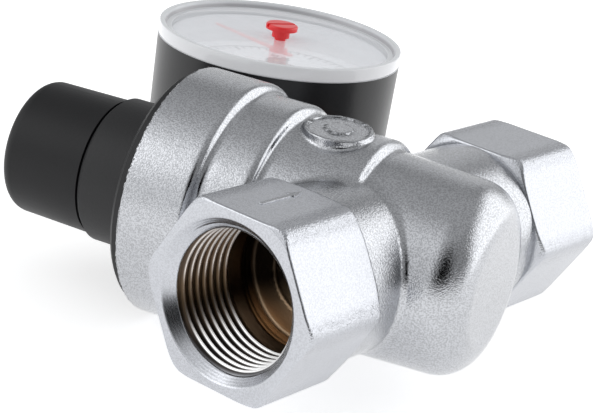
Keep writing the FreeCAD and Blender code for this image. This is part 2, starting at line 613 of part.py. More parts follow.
# ---------------------------------------------------------------- gauge housing
def tube_section(inset=0.0):
    """The pressure tube's flattened section with its corners taken off, moved in by inset."""
    line = sz.tube_line_radius
    corner = sz.tube_corner
    thick = sz.tube_half_thickness - inset
    wide = sz.tube_half_width - inset
    return [(line - thick, corner - wide), (line - thick + corner, -wide), (line + thick - corner, -wide),
            (line + thick, corner - wide), (line + thick, wide - corner), (line + thick - corner, wide),
            (line - thick + corner, wide), (line - thick, wide - corner)]


def make_gauge_socket():
    """The brass socket: threaded stem, wrench square and the inner block that carries the works."""
    outer = sz.case_radius + sz.wrench_length
    width = sz.socket_width
    half = sz.socket_half_height
    block = solid("Box", "socket_block", at(-width / 2, -outer, -half), Length=width,
                  Width=outer - sz.socket_step, Height=half * 2)
    ledge = solid("Box", "socket_ledge", at(-width / 2, -sz.socket_step - 0.5, -half), Length=width,
                  Width=sz.socket_step + 0.5 - sz.socket_inner, Height=half + sz.socket_ledge)
    length = sz.gauge_stem_length + sz.gasket_thickness
    stem = turned("socket_stem", [
        (0, -1), (sz.gauge_stem_radius, -1), (sz.gauge_stem_radius, length - 1), (sz.gauge_stem_radius - 1, length),
        (0, length)])
    stem.Placement = Placement(Vector(0, -outer.value, 0), Rotation(Vector(1, 0, 0), 90))
    bore = solid("Cylinder", "socket_bore",
                 Placement(Vector(0, -(outer + length + 1).value, 0), Rotation(Vector(1, 0, 0), -90)),
                 Radius=1.5, Height=length + sz.wrench_length + 8)
    seat = turned("tube_seat", tube_section(), angle=20.0)
    seat.Placement = at(turn=sz.tube_root_angle - 20.0)
    shape = cut("gauge_socket", joined("socket_blank", block, ledge, stem), joined("socket_hollow", bore, seat))
    node(shape, "gauge_socket", GAUGE)
    gasket = turned("gauge_gasket", [
        (sz.gauge_thread_radius, sz.boss_reach), (sz.boss_radius - sz.boss_edge, sz.boss_reach),
        (sz.boss_radius - sz.boss_edge, sz.boss_reach + sz.gasket_thickness),
        (sz.gauge_thread_radius, sz.boss_reach + sz.gasket_thickness)])
    node(gasket, "gauge_gasket", BOSS)


def make_gauge_case():
    """The moulded case: a tapered cup with a dial step, a slot for the socket and two seats under it."""
    floor = sz.case_floor - sz.case_back
    cup = turned("case_cup", [
        (0, -sz.case_back), (sz.case_foot_radius, -sz.case_back), (sz.case_radius, sz.case_top),
        (sz.case_upper_bore, sz.case_top), (sz.case_upper_bore, sz.dial_height),
        (sz.case_lower_bore, sz.dial_height), (sz.case_lower_bore, floor), (0, floor)])
    soften(cup, "Fillet", [(sz.case_foot_radius, -sz.case_back)], sz.case_edge)
    gap = sz.socket_gap
    slot = solid("Box", "case_slot",
                 at(-sz.socket_width / 2 - gap, -sz.case_radius - 2, -sz.socket_half_height - gap),
                 Length=sz.socket_width + gap * 2, Width=sz.case_radius + 2 - sz.socket_step,
                 Height=(sz.socket_half_height + gap) * 2)
    seat = solid("Box", "case_seat", at(-sz.socket_width / 2, -sz.case_lower_bore, floor - 0.5),
                 Length=sz.socket_width, Width=sz.case_lower_bore - sz.socket_inner,
                 Height=-sz.socket_half_height - floor + 0.5)
    node(joined("gauge_case", cut("case_slotted", cup, slot), seat), "gauge_case", GAUGE)


def make_gauge_window():
    """The clear window: a flat disc with a push-in skirt and a hole for the marker shaft."""
    top = sz.case_top + sz.window_thickness
    outer = sz.case_upper_bore - sz.skirt_gap
    inner = outer - sz.skirt_thickness
    hole = sz.set_shaft_radius + sz.slide_clearance
    pane = turned("gauge_window", [
        (hole, sz.case_top), (inner, sz.case_top), (inner, sz.case_top - sz.skirt_drop),
        (outer, sz.case_top - sz.skirt_drop), (outer, sz.case_top), (sz.case_radius, sz.case_top),
        (sz.case_radius, top), (hole, top)])
    soften(pane, "Fillet", [(sz.case_radius, top)], sz.window_edge)
    node(pane, "gauge_window", GAUGE)


def make_dial():
    """The dial plate on the case's step, and the pin that stops the pointer at zero."""
    radius = sz.case_upper_bore - sz.dial_gap
    low = sz.dial_height
    top = low + sz.dial_thickness
    plate = turned("dial_plate", [(sz.dial_hole, low), (radius, low), (radius, top), (sz.dial_hole, top)])
    node(plate, "dial_plate", GAUGE)
    angle = math.radians(sz.stop_pin_angle.value)
    pin = solid("Cylinder", "stop_pin", Radius=sz.stop_pin_radius,
                Height=sz.pointer_height + sz.pointer_thickness - top)
    node(pin, "stop_pin", GAUGE.multiply(at(sz.stop_pin_offset * math.cos(angle),
                                            sz.stop_pin_offset * math.sin(angle), top)))


# ---------------------------------------------------------------- gauge works
def make_bourdon_tube():
    """The flattened C-shaped tube that straightens under pressure."""
    tube = turned("bourdon_tube", tube_section(), tube_section(sz.tube_wall),
                  angle=sz.tube_root_angle - sz.tube_tip_angle)
    node(tube, "bourdon_tube", GAUGE.multiply(at(turn=sz.tube_tip_angle)))


def tip_pin():
    """Place of the link pin on the tube tip, in the gauge's frame."""
    angle = math.radians((sz.tube_tip_angle - sz.tip_sweep / 2).value)
    return Vector(math.cos(angle), math.sin(angle), 0) * sz.tube_line_radius.value


def sector_pivot():
    """Place of the sector's arbor: one centre distance from the pinion."""
    return Vector(0, -(sz.gear_module * (sz.pinion_teeth + sz.sector_teeth) / 2).value, 0)


def tail_pin():
    """Place of the link pin on the sector's tail at rest."""
    angle = math.radians(sz.tail_angle.value)
    return sector_pivot() + Vector(math.cos(angle), math.sin(angle), 0) * sz.tail_reach.value


def link_height():
    """Height of the link's underside, just above the sector."""
    return sz.gear_height + sz.gear_thickness + 0.1


def hairspring_height():
    """Height of the hairspring's underside."""
    return sz.gear_height + sz.gear_thickness + sz.hairspring_gap


def make_tube_tip():
    """The end block soldered into the tube, with the pin that carries the link."""
    inner = sz.tube_line_radius - sz.tip_half_thickness
    outer = sz.tube_line_radius + sz.tip_half_thickness
    half = sz.tube_half_width
    block = turned("tip_block", [(inner, -half), (outer, -half), (outer, half), (inner, half)],
                   angle=sz.tip_sweep)
    block.Placement = at(turn=sz.tube_tip_angle - sz.tip_sweep)
    place = tip_pin()
    pin = solid("Cylinder", "tip_pin", at(place.x, place.y, sz.tube_half_width - 0.5), Radius=sz.link_pin_radius,
                Height=sz.tip_top - sz.tube_half_width + 0.5)
    node(joined("tube_tip", block, pin), "tube_tip", GAUGE)


def make_movement_frame():
    """The two plates of the movement and the pillars between them."""
    low = sz.socket_ledge
    pivot = sector_pivot()
    half = sz.plate_half_width
    upper = low + sz.plate_thickness + sz.pillar_length
    hole = sz.arbor_radius + sz.arbor_clearance
    stud_place = sz.hairspring_outer + sz.hairspring_thickness / 2 + sz.stud_radius
    stud = solid("Cylinder", "hairspring_stud", at(stud_place, 0, hairspring_height()), Radius=sz.stud_radius,
                 Height=upper - hairspring_height() + 0.2)
    for name, height in (("movement_lower_plate", low), ("movement_upper_plate", upper)):
        plate = solid("Box", f"{name}_blank", at(-half, -sz.plate_rear, height), Length=half * 2,
                      Width=sz.plate_rear + sz.plate_front, Height=sz.plate_thickness)
        if height is upper:
            plate = joined("upper_plate_with_stud", plate, stud)
        holes = [solid("Cylinder", f"{name}_hole_{number}", at(0, y, height - 1), Radius=hole,
                       Height=sz.plate_thickness + 2) for number, y in enumerate((0, pivot.y))]
        node(cut(name, plate, joined(f"{name}_holes", *holes)), name, GAUGE)
    inset = sz.pillar_inset
    spots = [(half - inset, inset - sz.plate_rear), (inset - half, inset - sz.plate_rear),
             (0, sz.plate_front - inset)]
    pillars = doc.addObject("Part::Compound", "movement_pillars")
    pillars.Links = [solid("Cylinder", f"pillar_{number}", at(x, y, low + sz.plate_thickness),
                           Radius=sz.pillar_radius, Height=sz.pillar_length)
                     for number, (x, y) in enumerate(spots)]
    node(pillars, "movement_pillars", GAUGE)


def tooth_points(radius, teeth, first, count):
    """Outline points of count teeth on a pitch radius, the first one centred on an angle."""
    module = sz.gear_module.value
    pitch = 2 * math.pi / teeth
    slack = sz.gear_backlash.value / radius
    tip = radius + 0.85 * module
    root = radius - 1.25 * module
    steps = [(root, -0.36), (tip, -0.13), (tip, 0.13), (root, 0.36)]
    points = []
    for number in range(count):
        centre = first + pitch * number
        for reach, share in steps:
            angle = centre + share * pitch - math.copysign(slack / 2, share)
            points.append(Vector(reach * math.cos(angle), reach * math.sin(angle), 0))
    return points


def flat_part(points, height, thickness):
    """A flat plate from a closed outline."""
    face = Part.Face(Part.makePolygon(points + points[:1]))
    face.translate(Vector(0, 0, height))
    return face.extrude(Vector(0, 0, thickness))


def rod(x, y, low, high, radius):
    """A plain upright rod."""
    return Part.makeCylinder(radius, high - low, Vector(x, y, low))


def feature(name, shape, frame=GAUGE):
    """A node whose shape is made in code from the sheet's sizes."""
    item = doc.addObject("Part::Feature", name)
    item.Shape = shape
    return node(item, name, frame.multiply(item.Placement))


def make_gears():
    """The toothed sector with its tail, and the pinion on the pointer's arbor, in mesh at zero."""
    low = sz.gear_height.value
    thick = sz.gear_thickness.value
    pivot = sector_pivot()
    arbor = sz.arbor_radius.value
    plate_low = sz.socket_ledge.value
    plate_high = plate_low + (sz.plate_thickness * 2 + sz.pillar_length).value
    teeth = int(sz.sector_teeth.value)
    count = int(sz.sector_cut_teeth.value)
    radius = (sz.gear_module * sz.sector_teeth / 2).value
    pitch = 2 * math.pi / teeth
    middle = math.radians(90 - sz.sector_rest.value)
    mesh = round((math.pi / 2 - middle) / pitch) * pitch
    first = math.pi / 2 - mesh - pitch * (count // 2)
    arc = tooth_points(radius, teeth, first, count)
    spread = math.radians(9)
    waist = 1.6
    flank = [Vector(waist * math.cos(first - spread), waist * math.sin(first - spread), 0),
             Vector(waist * math.cos(first + pitch * count + spread),
                    waist * math.sin(first + pitch * count + spread), 0)]
    sector = flat_part([flank[0]] + arc + [flank[1]], low, thick)
    tail = math.radians(sz.tail_angle.value)
    reach = sz.tail_reach.value
    bar = Part.makeBox(reach, 1.6, thick, Vector(0, -0.8, low))
    bar.rotate(Vector(), UP, math.degrees(tail))
    end = Vector(math.cos(tail), math.sin(tail), 0) * reach
    pin = rod(end.x, end.y, low, (link_height() + sz.link_thickness + 0.3).value, sz.link_pin_radius.value)
    hub = rod(0, 0, low, low + thick, 1.7)
    shaft = rod(0, 0, plate_low, plate_high, arbor)
    shape = sector.multiFuse([bar, rod(end.x, end.y, low, low + thick, 0.8), pin, hub, shaft])
    shape.translate(pivot)
    feature("sector_gear", shape.removeSplitter())
    small = int(sz.pinion_teeth.value)
    small_radius = (sz.gear_module * sz.pinion_teeth / 2).value
    gap = -math.pi / 2 + math.pi / small
    wheel = flat_part(tooth_points(small_radius, small, gap, small), low - 0.2, thick + 0.4)
    staff = rod(0, 0, plate_low, (sz.pointer_height + sz.pointer_hub_height).value, arbor)
    spring_low = hairspring_height().value
    collet = rod(0, 0, spring_low, (spring_low + sz.hairspring_width).value,
                 (sz.hairspring_inner - sz.hairspring_thickness / 2).value)
    feature("pinion", wheel.multiFuse([staff, collet]).removeSplitter())


def make_link():
    """The link between the tube tip and the sector's tail, with a free eye at the tip end."""
    start = tail_pin()
    end = tip_pin()
    run = end - start
    low = link_height().value
    thick = sz.link_thickness.value
    half = sz.link_width.value / 2
    bar = Part.makeBox(run.Length, half * 2, thick, Vector(0, -half, low))
    shape = bar.fuse(rod(0, 0, low, low + thick, half + 0.25))
    shape = shape.fuse(rod(run.Length, 0, low, low + thick, half + 0.35))
    pin = sz.link_pin_radius.value
    shape = shape.cut(rod(0, 0, low - 1, low + thick + 1, pin + sz.slide_clearance.value))
    shape = shape.cut(rod(run.Length, 0, low - 1, low + thick + 1, pin + sz.link_clearance.value))
    shape.rotate(Vector(), UP, math.degrees(math.atan2(run.y, run.x)))
    shape.translate(start)
    feature("link", shape)


def make_hairspring():
    """The flat spiral that takes up the play of the teeth."""
    inner = sz.hairspring_inner.value
    outer = sz.hairspring_outer.value
    turns = sz.hairspring_turns.value
    half = sz.hairspring_thickness.value / 2
    steps = int(turns * 16)

    def spiral(shift):
        """A smooth curve on the spiral, moved in or out."""
        points = []
        for step in range(steps + 1):
            share = step / steps
            reach = inner + (outer - inner) * share + shift
            angle = 2 * math.pi * turns * share
            points.append(Vector(reach * math.cos(angle), reach * math.sin(angle), 0))
        curve = Part.BSplineCurve()
        curve.interpolate(points)
        return curve.toShape(), points

    near, near_points = spiral(-half)
    far, far_points = spiral(half)
    ends = [Part.makeLine(near_points[0], far_points[0]), Part.makeLine(near_points[-1], far_points[-1])]
    face = Part.Face(Part.Wire(Part.__sortEdges__([near, far] + ends)))
    face.translate(Vector(0, 0, hairspring_height().value))
    feature("hairspring", face.extrude(Vector(0, 0, sz.hairspring_width.value)))


def needle(reach, tail, width, height, thickness):
    """A tapered needle along +X with a plain tail."""
    half = width / 2
    points = [Vector(-tail, half * 0.9, 0), Vector(-tail, -half * 0.9, 0), Vector(0, -half, 0),
              Vector(reach, -half * 0.25, 0), Vector(reach, half * 0.25, 0), Vector(0, half, 0)]
    return flat_part(points, height, thickness)


def make_pointer():
    """The black pointer, standing at zero, lower left of the dial."""
    low = sz.pointer_height.value
    blade = needle(sz.pointer_reach.value, sz.pointer_tail.value, sz.pointer_width.value, low,
                   sz.pointer_thickness.value)
    hub = rod(0, 0, low, low + sz.pointer_hub_height.value, sz.pointer_hub_radius.value)
    shape = blade.fuse(hub).cut(rod(0, 0, low - 1, low + 5, sz.arbor_radius.value)).removeSplitter()
    shape.rotate(Vector(), UP, 225)
    feature("pointer", shape)


def make_marker():
    """The red marker: a slotted button over the window and its needle below, on one shaft."""
    top = (sz.case_top + sz.window_thickness).value
    under = sz.case_top.value
    shaft = sz.set_shaft_radius
    gap = 0.1
    button = turned("set_button", [
        (0, under - sz.set_needle_drop.value), (shaft, under - sz.set_needle_drop.value), (shaft, top + gap),
        (sz.set_neck_radius, top + gap), (sz.set_neck_radius, top + sz.set_cap_bottom),
        (sz.set_cap_radius, top + sz.set_cap_bottom + 0.3), (sz.set_cap_radius, top + sz.set_cap_top),
        (0, top + sz.set_cap_top)])
    soften(button, "Fillet", [(sz.set_cap_radius, top + sz.set_cap_top)], 0.4)
    slot = solid("Box", "set_slot",
                 at(-sz.set_cap_radius - 1, -sz.set_slot_width / 2, top + sz.set_cap_top - sz.set_slot_depth),
                 Length=sz.set_cap_radius * 2 + 2, Width=sz.set_slot_width, Height=sz.set_slot_depth + 1)
    node(cut("set_knob", button, slot), "set_knob", GAUGE)
    high = under - sz.set_needle_drop.value
    low = high - sz.set_needle_thickness.value
    blade = needle(sz.set_needle_reach.value, 4.0, sz.set_needle_width.value, low, sz.set_needle_thickness.value)
    shape = blade.fuse(rod(0, 0, low, high, 2.0)).removeSplitter()
    shape.rotate(Vector(), UP, 90 + sz.set_angle.value)
    feature("set_pointer", shape)


# ---------------------------------------------------------------- build and write
def check(items):
    """Stop if any object failed or any sub-part has no sound shape."""
    for item in doc.Objects:
        if "Invalid" in item.State or "Error" in item.State:
            raise RuntimeError(f"{item.Label} did not compute: {item.State}")
    for item in items:
        if item.Shape.isNull() or not item.Shape.isValid():
            raise RuntimeError(f"{item.Label} has no sound shape")


def write(items):
    """Write each sub-part under its own name."""
    os.makedirs("parts", exist_ok=True)
    for item in items:
        item.Shape.exportStep(f"parts/{item.Label}.step")
        print(f"{item.Label:24s} {len(item.Shape.Solids)} solid {item.Shape.Volume:10.1f} mm3")


make_valve_body()
make_bonnet()
make_slip_ring()
make_knob()
make_adjusting_screw()
make_spring_nut()
make_adjusting_spring()
make_spring_cup()
make_diaphragm()
make_stem()
make_cartridge()
make_obturator()
make_strainer()
make_gauge_socket()
make_gauge_case()
make_gauge_window()
make_dial()
make_bourdon_tube()
make_tube_tip()
make_movement_frame()
make_gears()
make_link()
make_hairspring()
make_pointer()
make_marker()
doc.recompute()
check(NODES)
write(NODES)
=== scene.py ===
import json
import logging
import math
from dataclasses import dataclass, field
from enum import Enum
from typing import Callable, Iterable, NamedTuple, Sequence, Union

import bmesh
import bpy
import numpy as np
from mathutils import Matrix, Vector

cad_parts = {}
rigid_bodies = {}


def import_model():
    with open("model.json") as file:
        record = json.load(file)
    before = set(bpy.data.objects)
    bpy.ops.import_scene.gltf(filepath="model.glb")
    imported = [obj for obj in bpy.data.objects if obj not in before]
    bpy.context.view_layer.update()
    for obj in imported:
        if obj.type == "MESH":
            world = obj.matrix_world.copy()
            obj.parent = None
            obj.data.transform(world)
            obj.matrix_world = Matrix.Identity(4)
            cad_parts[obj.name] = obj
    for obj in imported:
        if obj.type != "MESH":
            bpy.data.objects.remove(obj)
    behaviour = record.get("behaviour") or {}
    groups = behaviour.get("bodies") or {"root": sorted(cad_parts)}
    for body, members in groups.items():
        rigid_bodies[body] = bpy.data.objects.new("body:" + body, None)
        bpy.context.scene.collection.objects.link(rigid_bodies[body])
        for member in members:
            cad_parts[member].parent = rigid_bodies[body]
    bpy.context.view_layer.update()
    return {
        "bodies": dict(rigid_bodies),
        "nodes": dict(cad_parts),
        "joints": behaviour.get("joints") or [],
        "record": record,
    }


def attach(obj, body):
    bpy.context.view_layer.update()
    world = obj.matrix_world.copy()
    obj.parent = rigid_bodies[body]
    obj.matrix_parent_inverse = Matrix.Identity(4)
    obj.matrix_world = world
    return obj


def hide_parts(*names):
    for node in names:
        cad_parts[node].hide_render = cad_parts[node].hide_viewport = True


Colour = tuple[float, float, float, float]
Triple = tuple[float, float, float]
Zone = tuple[float, float]
Face = tuple[int, ...]
Points = np.ndarray
Pair = tuple[np.ndarray, np.ndarray]
Field = Callable[[Points], np.ndarray]

LOG = logging.getLogger("valve")
MM = 0.001
CHROME: Colour = (0.55, 0.56, 0.585, 1.0)
Z_AXIS: Triple = (0.0, 0.0, 1.0)
DOWNHILL: Triple = (0.3, 0.0, -0.954)


def grey(level: float) -> Colour:
    """Return an opaque grey."""
    return (level, level, level, 1.0)


def scaled(colour: Colour, factor: float, lift: float = 0.0) -> Colour:
    """Return an opaque colour with its parts scaled and lifted, up to 1."""
    return tuple(min(1.0, part * factor + lift) for part in colour[:3]) + (1.0,)


class Grain(NamedTuple):
    """A noise: feature size in mm, octaves, weight of the finer ones, factors on the axes."""

    size: float
    octaves: float = 2.0
    weight: float = 0.5
    stretch: Triple = (1.0, 1.0, 1.0)


FLOW_MARKS = Grain(6.0, stretch=(1.0, 1.0, 0.35))


class Slot(str, Enum):
    """Material slots of the record, passed along with the new pieces."""

    CHROME = "chromed_brass"
    WINDOW = "clear_window"
    BLACK_PAINT = "black_paint"
    STAINLESS = "stainless"


class Body(str, Enum):
    """CAD bodies that the new pieces ride on."""

    HOUSING = "housing"


# ---- node trees
def operator(operation: str, swapped: bool = False) -> Callable[["Wire", "Level"], "Wire"]:
    """Make a method of Wire that adds a Math node.

    Args:
        operation: The node's operation.
        swapped: True to put the other value first.

    Returns:
        The method.
    """

    def apply(wire: "Wire", other: "Level") -> "Wire":
        """Return the node's output."""
        return wire.math(operation, *((other, wire) if swapped else (wire, other)))

    return apply


class Wire:
    """A node output that takes part in arithmetic by adding Math nodes."""

    __add__, __radd__ = operator("ADD"), operator("ADD", True)
    __sub__, __rsub__ = operator("SUBTRACT"), operator("SUBTRACT", True)
    __mul__, __rmul__ = operator("MULTIPLY"), operator("MULTIPLY", True)
    __truediv__, __rtruediv__ = operator("DIVIDE"), operator("DIVIDE", True)
    __pow__, __rpow__ = operator("POWER"), operator("POWER", True)
    most, least = operator("MAXIMUM"), operator("MINIMUM")

    def __init__(self, paint: "Paint", socket: bpy.types.NodeSocket | None) -> None:
        """Keep the tree and the output socket."""
        self.paint = paint
        self.socket = socket

    def math(self, operation: str, *values: "Level") -> "Wire":
        """Add one Math node and return its output."""
        return self.paint.add("ShaderNodeMath", {"operation": operation}, dict(enumerate(values)))

    def __abs__(self) -> "Wire":
        """Return the absolute value."""
        return self.math("ABSOLUTE", self)

    def sine(self) -> "Wire":
        """Return the sine."""
        return self.math("SINE", self)

    def ramp(self, low: float, high: float) -> "Wire":
        """Return a value that rises smoothly from 0 at low to 1 at high."""
        return self.paint.add("ShaderNodeMapRange", {"interpolation_type": "SMOOTHSTEP"},
                              {"Value": self, "From Min": low, "From Max": high})

    def past(self, size: float, zone: Zone) -> "Wire":
        """Return a value that rises from 0 to 1 over a zone counted from size."""
        return self.ramp(size + zone[0], size + zone[1])


Level = Union[Wire, float]
Key = Union[str, int]


class Paint:
    """A node tree with one method that adds any node."""

    def __init__(self, tree: bpy.types.NodeTree) -> None:
        """Empty a material's or world's node tree."""
        self.tree = tree
        tree.nodes.clear()

    def add(self, kind: str, settings: dict[str, object] | None = None,
            inputs: dict[Key, object] | None = None, output: Key = 0) -> Wire:
        """Add a node, set it up and link or fill its inputs.

        Args:
            kind: The node's type.
            settings: Properties, set first.
            inputs: Socket name or number to a wire or a constant.
            output: Name or number of the output wanted, among the enabled ones.

        Returns:
            That output.
        """
        made = self.tree.nodes.new(kind)
        for name, value in (settings or {}).items():
            setattr(made, name, value)
        for name, value in (inputs or {}).items():
            socket = self.find(made.inputs, name)
            if isinstance(value, Wire):
                self.tree.links.new(value.socket, socket)
            else:
                socket.default_value = value
        outputs = [socket for socket in made.outputs if socket.enabled]
        return Wire(self, self.find(outputs, output) if outputs else None)

    @staticmethod
    def find(sockets: Sequence[bpy.types.NodeSocket], key: Key) -> bpy.types.NodeSocket:
        """Find a socket.

        Args:
            sockets: Inputs or outputs of a node.
            key: Number or name.

        Returns:
            The socket with that number, or the enabled one with that name.
        """
        if isinstance(key, int):
            return sockets[key]
        return next(socket for socket in sockets if socket.name == key and socket.enabled)

    def vector(self, operation: str, *values: object, output: Key = 0) -> Wire:
        """Add one Vector Math node and return the output wanted."""
        return self.add("ShaderNodeVectorMath", {"operation": operation}, dict(enumerate(values)),
                        output)

    def place(self) -> Wire:
        """Return the point on the object, in metres, in the CAD frame."""
        return self.add("ShaderNodeTexCoord", output="Object")

    def offset(self, origin: Triple) -> Wire:
        """Return the offset in metres of the surface point from a point in mm."""
        return self.vector("SUBTRACT", self.place(), [part * MM for part in origin])

    def along(self, axis: Triple, origin: Triple) -> Wire:
        """Return the distance in mm of the surface point from origin, measured along axis."""
        return self.vector("DOT_PRODUCT", self.offset(origin), axis, output="Value") / MM

    def radius(self, axis: Triple, origin: Triple) -> Wire:
        """Return the distance in mm of the surface point from the line through origin."""
        cross = self.vector("CROSS_PRODUCT", self.offset(origin), axis)
        return self.vector("LENGTH", cross, output="Value") / MM

    def noise(self, grain: Grain) -> Wire:
        """Return that noise, from 0 to 1."""
        point = self.add("ShaderNodeMapping", None,
                         {"Vector": self.place(), "Scale": grain.stretch})
        return self.add("ShaderNodeTexNoise", None, {
            "Vector": point, "Scale": 1.0 / (grain.size * MM), "Detail": grain.octaves,
            "Roughness": grain.weight})

    def mix(self, amount: Level, first: object, second: object) -> Wire:
        """Return the first colour where amount is 0 and the second where it is 1."""
        return self.add("ShaderNodeMix", {"data_type": "RGBA"},
                        {"Factor": amount, "A": first, "B": second})

    def bump(self, height: Level, strength: float, depth: float, under: Wire | None = None) -> Wire:
        """Return a normal bumped by a height from 0 to 1 that stands for a depth in mm."""
        inputs = {"Height": height, "Strength": strength, "Distance": depth * MM}
        return self.add("ShaderNodeBump", None, inputs | ({"Normal": under} if under else {}))

    def surface(self, **inputs: object) -> None:
        """Add the Principled shader and the output.

        Args:
            inputs: Values by socket name, with underscores for spaces.
        """
        named = {name.replace("_", " "): value for name, value in inputs.items()}
        shader = self.add("ShaderNodeBsdfPrincipled", None, named)
        self.add("ShaderNodeOutputMaterial", None, {"Surface": shader})


# ---- finishes
@dataclass(frozen=True)
class Finish:
    """A named procedural material. Sizes in its fields are in mm, and gloss is its roughness."""

    name: str
    colour: Colour = (0.8, 0.8, 0.8, 1.0)

    def material(self) -> bpy.types.Material:
        """Make the Blender material on first use.

        Returns:
            The material.
        """
        found = bpy.data.materials.get(self.name)
        if found is None:
            found = bpy.data.materials.new(self.name)
            found.use_nodes = True
            self.fill(Paint(found.node_tree))
            LOG.info("finish %s", self.name)
        return found

    def fill(self, paint: Paint) -> None:
        """Build the node tree in an empty tree."""
        raise NotImplementedError


@dataclass(frozen=True)
class BlastedChrome(Finish):
    """Chrome over a grit-blasted casting, worn smoother along the shoulders of the barrel.

    The shoulders are heights from the centre along the axis. On them only the worn share of the
    grain is left, and it comes back over the wear distances. Hollows of the grain, below the
    dimple's noise levels, keep the hollow share of the colour. The swell is a broad waviness.
    """

    centre: Triple = (0.0, 0.0, 0.0)
    axis: Triple = Z_AXIS
    shoulders: tuple[float, ...] = ()
    grain: float = 0.28
    relief: float = 0.055
    gloss: float = 0.12
    worn: float = 0.25
    wear: Zone = (0.6, 2.2)
    dimple: Zone = (0.40, 0.58)
    hollow: float = 0.72
    pit_ratio: float = 2.3
    pit_gloss: float = 0.08
    swell: Grain = Grain(9.0)
    swell_relief: Zone = (0.25, 0.2)

    def fill(self, paint: Paint) -> None:
        """Build grain, broad waviness and the smoother bands.

        Args:
            paint: The tree.
        """
        height = paint.along(self.axis, self.centre)
        rough: Level = 1.0
        for shoulder in self.shoulders:
            away = abs(height - shoulder).ramp(*self.wear)
            rough = rough * (self.worn + (1.0 - self.worn) * away)
        grain = paint.noise(Grain(self.grain))
        pits = paint.noise(Grain(self.grain * self.pit_ratio))
        normal = paint.bump(grain * rough, 1.0, self.relief)
        normal = paint.bump(paint.noise(self.swell), *self.swell_relief, normal)
        dark = scaled(self.colour, self.hollow)
        tone = paint.mix(grain.ramp(*self.dimple), dark, self.colour)
        paint.surface(Base_Color=tone, Metallic=1.0, Roughness=self.gloss + self.pit_gloss * pits,
                      Normal=normal)


